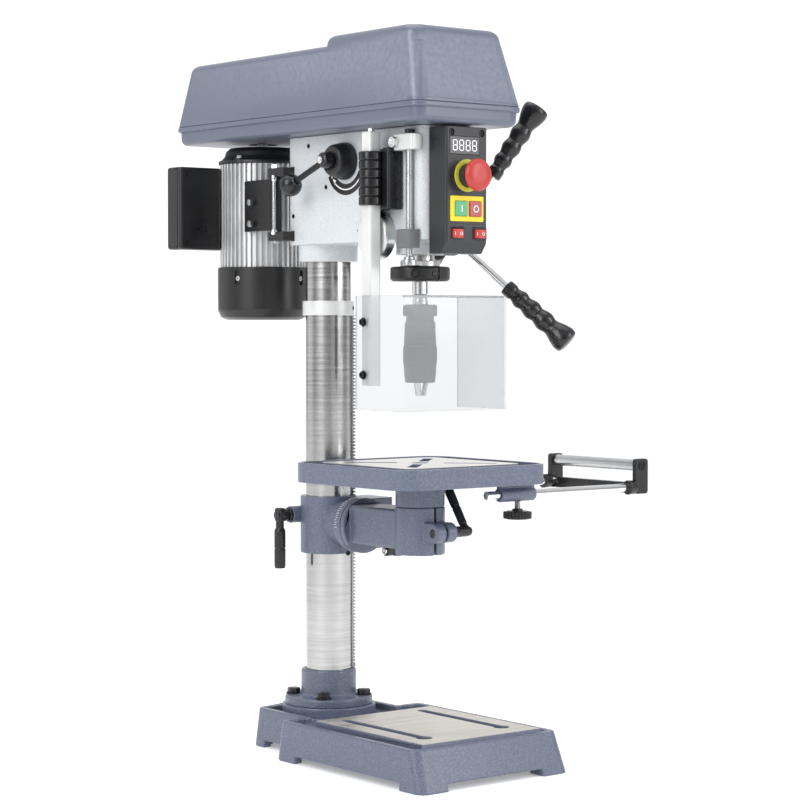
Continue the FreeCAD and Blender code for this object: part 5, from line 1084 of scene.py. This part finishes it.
bolt = merged("bell_bolt", hexagon("head", 7, 4, (BOLT_OUT, 0, 782)),
              turned("washer", bar(5.2, 781.8, 782.8), (BOLT_OUT, 0, 0), ease=0.2, sides=32))
fitted(ringed("bell_bolts", bolt, zinc_steel, 4, 0, MOTOR, start=BELL_TURN), "motor")
fan = turned("fan_shell",
             [(0, 564), (49, 564), (57.5, 567.5), (62, 577), (62, 635.4), (59.5, 635.4), (59.5, 634),
                           (0, 634)], MOTOR, ease=2.2)
pocket = plate("fan_pocket", square(-4.2, 4.2, 611, 631), 59.6, 66, "X", ease=3.6)
slit = plate("fan_slit", square(17, 44, -1.7, 1.7), 560, 567, ease=1.5)
carved(fan, ringed("fan_pockets", pocket, deep_black, 4, 0, MOTOR, start=FAN_TURN),
       ringed("fan_slits", slit, deep_black, 26, 0, MOTOR))
fitted(painted(fan, black_moulding), "motor", "fan_cover")
fan_screw = cap_screw("fan_screw", 3.3, 2.2, (59.5, 0, 620), (1, 0, 0))
fitted(ringed("fan_screws", fan_screw, zinc_steel, 4, 0, MOTOR, start=FAN_TURN), "motor")
case = copied("capacitor_box", 2.5, segments=3)
case_low, case_high = corners("capacitor_box")
seam = carved(plate("seam", square(case_low.x - 2, case_high.x - 12, case_low.z - 2, case_high.z + 2),
                    case_low.y + 7, case_low.y + 7.9, "Y"),
              plate("seam_core", square(case_low.x + 1.1, case_high.x, case_low.z + 1.1, case_high.z - 1.1),
                    case_low.y + 6, case_low.y + 9, "Y"))
fitted(painted(carved(case, seam), black_moulding), "motor", "capacitor_box")
case_screw = cap_screw("case_screw", 3.0, 1.6, (case_low.x + 9, case_low.y, case_low.z + 10), (0, -1, 0))
fitted(row("case_screws", case_screw, black_oxide, 2, (0, 0, 91)), "motor")
hinge_plate = painted(copied("motor_plate", 1.0), black_enamel)
fitted(hinge_plate, "motor", "motor_plate")
plate_low = corners("motor_plate")[0]
plate_screw = hexagon("plate_screw", 8, 4.5, (plate_low.x, 92, plate_low.z + 12), (-1, 0, 0))
fitted(row("plate_screws", plate_screw, zinc_steel, 2, (0, 0, 28)), "motor")

# %% [markdown]
# ## Pulleys and belt
# Both pulleys are bare alloy. They and the belt keep their modelled shapes, with the edges of the pulleys
# eased.
# %% Drive
fitted(painted(copied("spindle_pulley", 0.5), bare_alloy), "driven_pulley", "spindle_pulley")
fitted(painted(copied("motor_pulley", 0.5), bare_alloy), "rotor", "motor_pulley")
kept("motor_rotor", zinc_steel)
kept("drive_belt", belt_rubber)

# %% [markdown]
# ## Belt cover
# The tray under the belt is a shallow moulded pan with a rolled rim. The lid over it is a drafted hood with
# large rounded corners, a raised front half and a small lip where it meets the tray. Both are hollow.
# %% Belt cover
TRAY = (-87.2, 87.2, -295.4, 241.6)


def inset_box(box, gap):
    return (box[0] + gap, box[1] - gap, box[2] + gap, box[3] - gap)


pan = drafted("tray_pan", inset_box(TRAY, 4.5), inset_box(TRAY, 3.4), 803, 824.5, 20, 0.4, foot_edge=7)
rim = drafted("tray_rim", TRAY, TRAY, 820.8, 827.3, 23, 1.8, foot_edge=1.8)
room = drafted("tray_room", inset_box(TRAY, 6.6), inset_box(TRAY, 5.8), 806, 830, 17, 0.2)
spindle_way = turned("spindle_way", bar(14.1, 800, 810), SPINDLE, ease=0)
motor_way = turned("motor_way", bar(20, 800, 810), MOTOR, ease=0)
tray = carved(carved(pan, rim, how="UNION"), room, spindle_way, motor_way)
leaves = []
knuckles = []
for x in (-50, 50):
    leaf = turned("tray_leaf", bar(4, 0, 12.3), (x - 12.5, 247, 830), (1, 0, 0), 0.4, sides=32)
    leaves += [leaf, plate("leaf_strap", square(x - 12.5, x - 0.2, 239, 247), 822.8, 829)]
    knuckle = turned("lid_knuckle", bar(4, 0, 12.3), (x + 0.2, 247, 830), (1, 0, 0), 0.4,
                     sides=32)
    knuckles += [knuckle, plate("knuckle_strap", square(x + 0.2, x + 12.5, 238.5, 247), 830.2, 834)]
fitted(painted(merged("tray_set", tray, *leaves), cover_enamel), "root", "pulley_tray")

LID = (-86.2, 86.2, -294.5, 240.6)
FOOT, TOP, REAR_TOP, STEP = 827.7, 923, 911, -78


def hood(name, gap, foot, edge):
    """The lid's outline drawn in by a gap on every side."""
    low = inset_box(LID, gap)
    share = (REAR_TOP - FOOT) / (TOP - FOOT)
    rear_top = (low[0] + 13.5 * share, low[1] - 13.5 * share, low[2] + 27 * share, low[3] - 20 * share)
    front_foot = (low[0], low[1], low[2], STEP + 1 - gap)
    front_top = (low[0] + 13.5, low[1] - 13.5, low[2] + 27, STEP - 9 - gap)
    rear = drafted(name + "_rear", low, rear_top, foot, REAR_TOP - gap, 22, edge)
    front = drafted(name + "_front", front_foot, front_top, foot, TOP - gap, 22, edge)
    return rear, front


rear, front = hood("lid", 0, FOOT, 9)
lid = carved(rear, front, how="UNION")
lip = carved(drafted("lid_lip", LID, inset_box(LID, 0.7), FOOT, FOOT + 4.6, 22, 1.3, foot_edge=0.6),
             drafted("lip_core", inset_box(LID, 3), inset_box(LID, 3), FOOT - 1, FOOT + 6, 19, 0.1))
for thing in hood("lid_room", 1.6, FOOT - 2, 7.5):
    carved(lid, thing)
lid = chamfered(lid, 1.2, segments=3, angle=24)
fitted(painted(merged("lid_set", lid, lip, *knuckles), cover_enamel), "lid", "cover_lid")

# %% [markdown]
# ## Control box
# The box is a black moulding on the front of the head. Its display shows four figures, each made from seven
# short bars set in a row by the row tree. The emergency stop is a red mushroom on a yellow ring. Two keys sit
# in a yellow plate, and two rockers sit below them.
# %% Control box
FRONT = -284.9
SCREW_X, SCREW_Z, SCREW_GAP = -24, 792.5, 48
ESTOP_Z = 740
box = copied("control_box", 1.0, segments=3)
well = turned("screw_well", bar(4.4, -3, 2), (SCREW_X, FRONT, SCREW_Z), (0, -1, 0), 0, sides=32)
wells = row("screw_wells", well, deep_black, 2, (SCREW_GAP, 0, 0))
eye = plate("foot_eye", [(6 * math.cos(a), 648.5 + 1.9 * math.sin(a)) for a in
                         [2 * math.pi * k / 32 for k in range(32)]], -276, -262, "Y")
lines = [plate("box_line", square(-30, 30, z, z + 0.7), FRONT - 1, FRONT + 0.5, "Y") for z in (717.6, 680.5)]
fitted(painted(carved(box, wells, eye, *lines), box_moulding), "root", "control_box")
box_screw = cap_screw("box_screw", 3.4, 2.0, (SCREW_X, FRONT + 2.9, SCREW_Z), (0, -1, 0))
fitted(row("box_screws", box_screw, black_oxide, 2, (SCREW_GAP, 0, 0)), "root")

glass = painted(copied("display_window", 0.3), display_glass)
fitted(glass, "root", "display_window")
glass_low, glass_high = corners("display_window")
GLASS_FACE = glass_low.y
BAR_GAP, FIGURE_GAP = 6.2, 10.2
BAR_DEPTH = (GLASS_FACE - 0.15, GLASS_FACE + 0.3)
across = plate("bar_across", [(-2.6, 0), (-2.0, 0.6), (2.0, 0.6), (2.6, 0), (2.0, -0.6), (-2.0, -0.6)],
               *BAR_DEPTH, "Y")
upright = plate("bar_upright", [(0, -2.9), (0.6, -2.3), (0.6, 2.3), (0, 2.9), (-0.6, 2.3), (-0.6, -2.3)],
                *BAR_DEPTH, "Y")
left_pair = row("bars_left", upright, lit_figure, 2, (0, 0, BAR_GAP), (-BAR_GAP / 2, 0, -BAR_GAP / 2))
right_pair = row("bars_right", left_pair, lit_figure, 2, (BAR_GAP, 0, 0))
figure = merged("figure", row("bars_across", across, lit_figure, 3, (0, 0, BAR_GAP), (0, 0, -BAR_GAP)),
                right_pair)
digits = row("display_figures", figure, lit_figure, 4, (FIGURE_GAP, 0, 0),
             ((glass_low.x + glass_high.x) / 2 - 1.5 * FIGURE_GAP, 0, (glass_low.z + glass_high.z) / 2))
fitted(painted(digits, lit_figure), "root")

ring_part = turned("estop_ring_plate", [(14.6, -2), (20, -2), (20, 0), (14.6, 0)], (0, FRONT, ESTOP_Z),
                   (0, -1, 0), 0.4,
                   ring=True)
ring_part.data.transform(Matrix.Translation(Vector((0, -2, 0)) * MM))
key_room = [plate("key_room", square(x - 9.8, x + 9.8, 690.1, 708.9), FRONT - 6, FRONT + 2, "Y")
            for x in (-11, 11.5)]
yellow = plate("switch_plate", square(-27, 25, 684, 715), FRONT - 2, FRONT, "Y", ease=1.5)
plates = merged("switch_plate_set", painted(ring_part, ring_yellow),
                painted(chamfered(carved(yellow, *key_room), 0.4), yellow_plastic))
fitted(plates, "root", "switch_plates", slot="yellow_plastic")

mushroom = turned("estop_mushroom", [(0, -5), (8.4, -5), (8.4, 17.2), (17, 17.4), (20, 19.4), (20, 21.6),
                                     (18.4, 25.2), (13.5, 27.4), (8.5, 28), (0, 28)],
                  (0, FRONT, ESTOP_Z), (0, -1, 0), 1.6)
reach_out = FRONT - corners("estop_button")[0].y
mushroom.data.transform(Matrix.Translation(Vector((0, 28 - reach_out, 0)) * MM))
fitted(painted(mushroom, red_plastic), "emergency_stop", "estop_button")
for name, body, material in (("start_button", "start_switch", green_plastic),
                             ("stop_button", "stop_switch", stop_plastic)):
    key = painted(copied(name, 1.2, segments=3), material)
    fitted(key, body, name)
    key_low, spot = corners(name)[0], middle(name)
    if name == "start_button":
        sign = plate("start_sign", square(spot.x - 0.7, spot.x + 0.7, spot.z - 4, spot.z + 4),
                     key_low.y - 0.15,
                     key_low.y + 0.3, "Y", ease=0.4)
    else:
        sign = turned("stop_sign", [(3.1, -0.3), (4.3, -0.3), (4.3, 0.15), (3.1, 0.15)],
                      (spot.x, key_low.y, spot.z), (0, -1, 0), 0, ring=True, sides=40)
    fitted(painted(sign, white_print), body)
for name, body in (("light_rocker", "light_switch"), ("power_rocker", "power_switch")):
    key_low, mid = corners(name)[0], middle(name)
    rocker = copied(name, 0.8, segments=3)
    hollow = turned("rocker_hollow", bar(34, -9, 9), (mid.x, key_low.y - 32.6, mid.z),
                    (0, 0, 1), 0, sides=128)
    fitted(painted(carved(rocker, hollow), red_plastic), body, name)
    signs = merged("rocker_signs",
                   plate("rocker_on", square(mid.x - 5.2, mid.x - 4.6, mid.z - 2, mid.z + 2), key_low.y + 0.2,
                         key_low.y + 1.2, "Y"),
                   turned("rocker_off", [(1.4, 0), (2.0, 0), (2.0, 1), (1.4, 1)],
                          (mid.x + 4.9, key_low.y + 1.2, mid.z),
                          (0, -1, 0), 0, ring=True, sides=32))
    fitted(painted(signs, white_print), body)

# %% [markdown]
# ## Guard
# A square alloy post hangs from the head in a ribbed black sleeve, and its switch box stands beside it. The
# guard itself is a clear U of bent sheet, screwed to the post through its left wall.
# %% Guard
POST = (-71, -185)
GUARD_SCREW_Z = 495.5
post_high = corners("guard_post")[1]
post = painted(copied("guard_post", 1.2, segments=3), white_metal)
fitted(post, "guard", "guard_post")
post_bolt = merged("post_bolt", hexagon("bolt_head", 8, 3.4, (POST[0], POST[1], post_high.z + 0.8)),
                   turned("bolt_washer", bar(5.6, 0, 0.9), (POST[0], POST[1], post_high.z),
                          ease=0.2, sides=32))
fitted(painted(post_bolt, zinc_steel), "guard")
sleeve_low, sleeve_high = corners("guard_sleeve")
levels = [(9.2, sleeve_low.z, 0.2)]
rib_count = 6
rib_high = (sleeve_high.z - sleeve_low.z) / rib_count
for k in range(rib_count):
    z = sleeve_low.z + k * rib_high
    levels += [(14.2, z), (15.5, z + 1.2), (15.5, z + rib_high - 1.4), (14.2, z + rib_high - 0.2)]
levels.append((9.2, sleeve_high.z, 0.2))
sleeve = turned("post_sleeve", levels, (POST[0], POST[1], 0), ease=0.5, ring=True)
sleeve_node = copied("guard_sleeve", 0.6)
fitted(painted(carved(sleeve_node, sleeve, how="INTERSECT"), grip_moulding), "guard", "guard_sleeve")
switch = copied("guard_switch_box", 2.2, segments=3)
switch_low, switch_high = corners("guard_switch_box")
fitted(painted(switch, grip_moulding), "root", "guard_switch_box")
for z, wide in ((switch_high.z - 11, 5.0), (switch_low.z + 12, 3.4)):
    spot = (switch_low.x + 12, switch_low.y + 0.9, z)
    fitted(painted(cap_screw("switch_screw", wide, 1.6, spot, (0, -1, 0)), black_oxide), "root")

shield = copied("guard_shield", 0.8, segments=2)
painted(shield, clear_acrylic)
shield_low, shield_high = corners("guard_shield")
painted(shield, acrylic_edge, lambda spot,
        facing: abs(facing.z) > 0.5 or (facing.y > 0.7 and spot.y > shield_high.y - 1))
fitted(shield, "guard", "guard_shield", slot="clear_plastic")
strip = plate("guard_lip", square(shield_low.x + 7, shield_high.x - 3, shield_low.y + 3.2, shield_low.y + 12),
              shield_high.z - 3, shield_high.z, "Z", ease=1.5)
fitted(painted(strip, acrylic_edge), "guard", slot="clear_plastic")
guard_screw = merged("guard_screw_part",
                     turned("screw_disc", bar(5.6, 0, 1.0), (shield_low.x, POST[1], GUARD_SCREW_Z),
                            (-1, 0, 0), 0.3, sides=40),
                     cap_screw("screw_cap", 4.0, 3.6, (shield_low.x - 0.8, POST[1], GUARD_SCREW_Z),
                               (-1, 0, 0)))
fitted(row("guard_screws", guard_screw, black_oxide, 2, (0, 0, 65.5)), "guard")
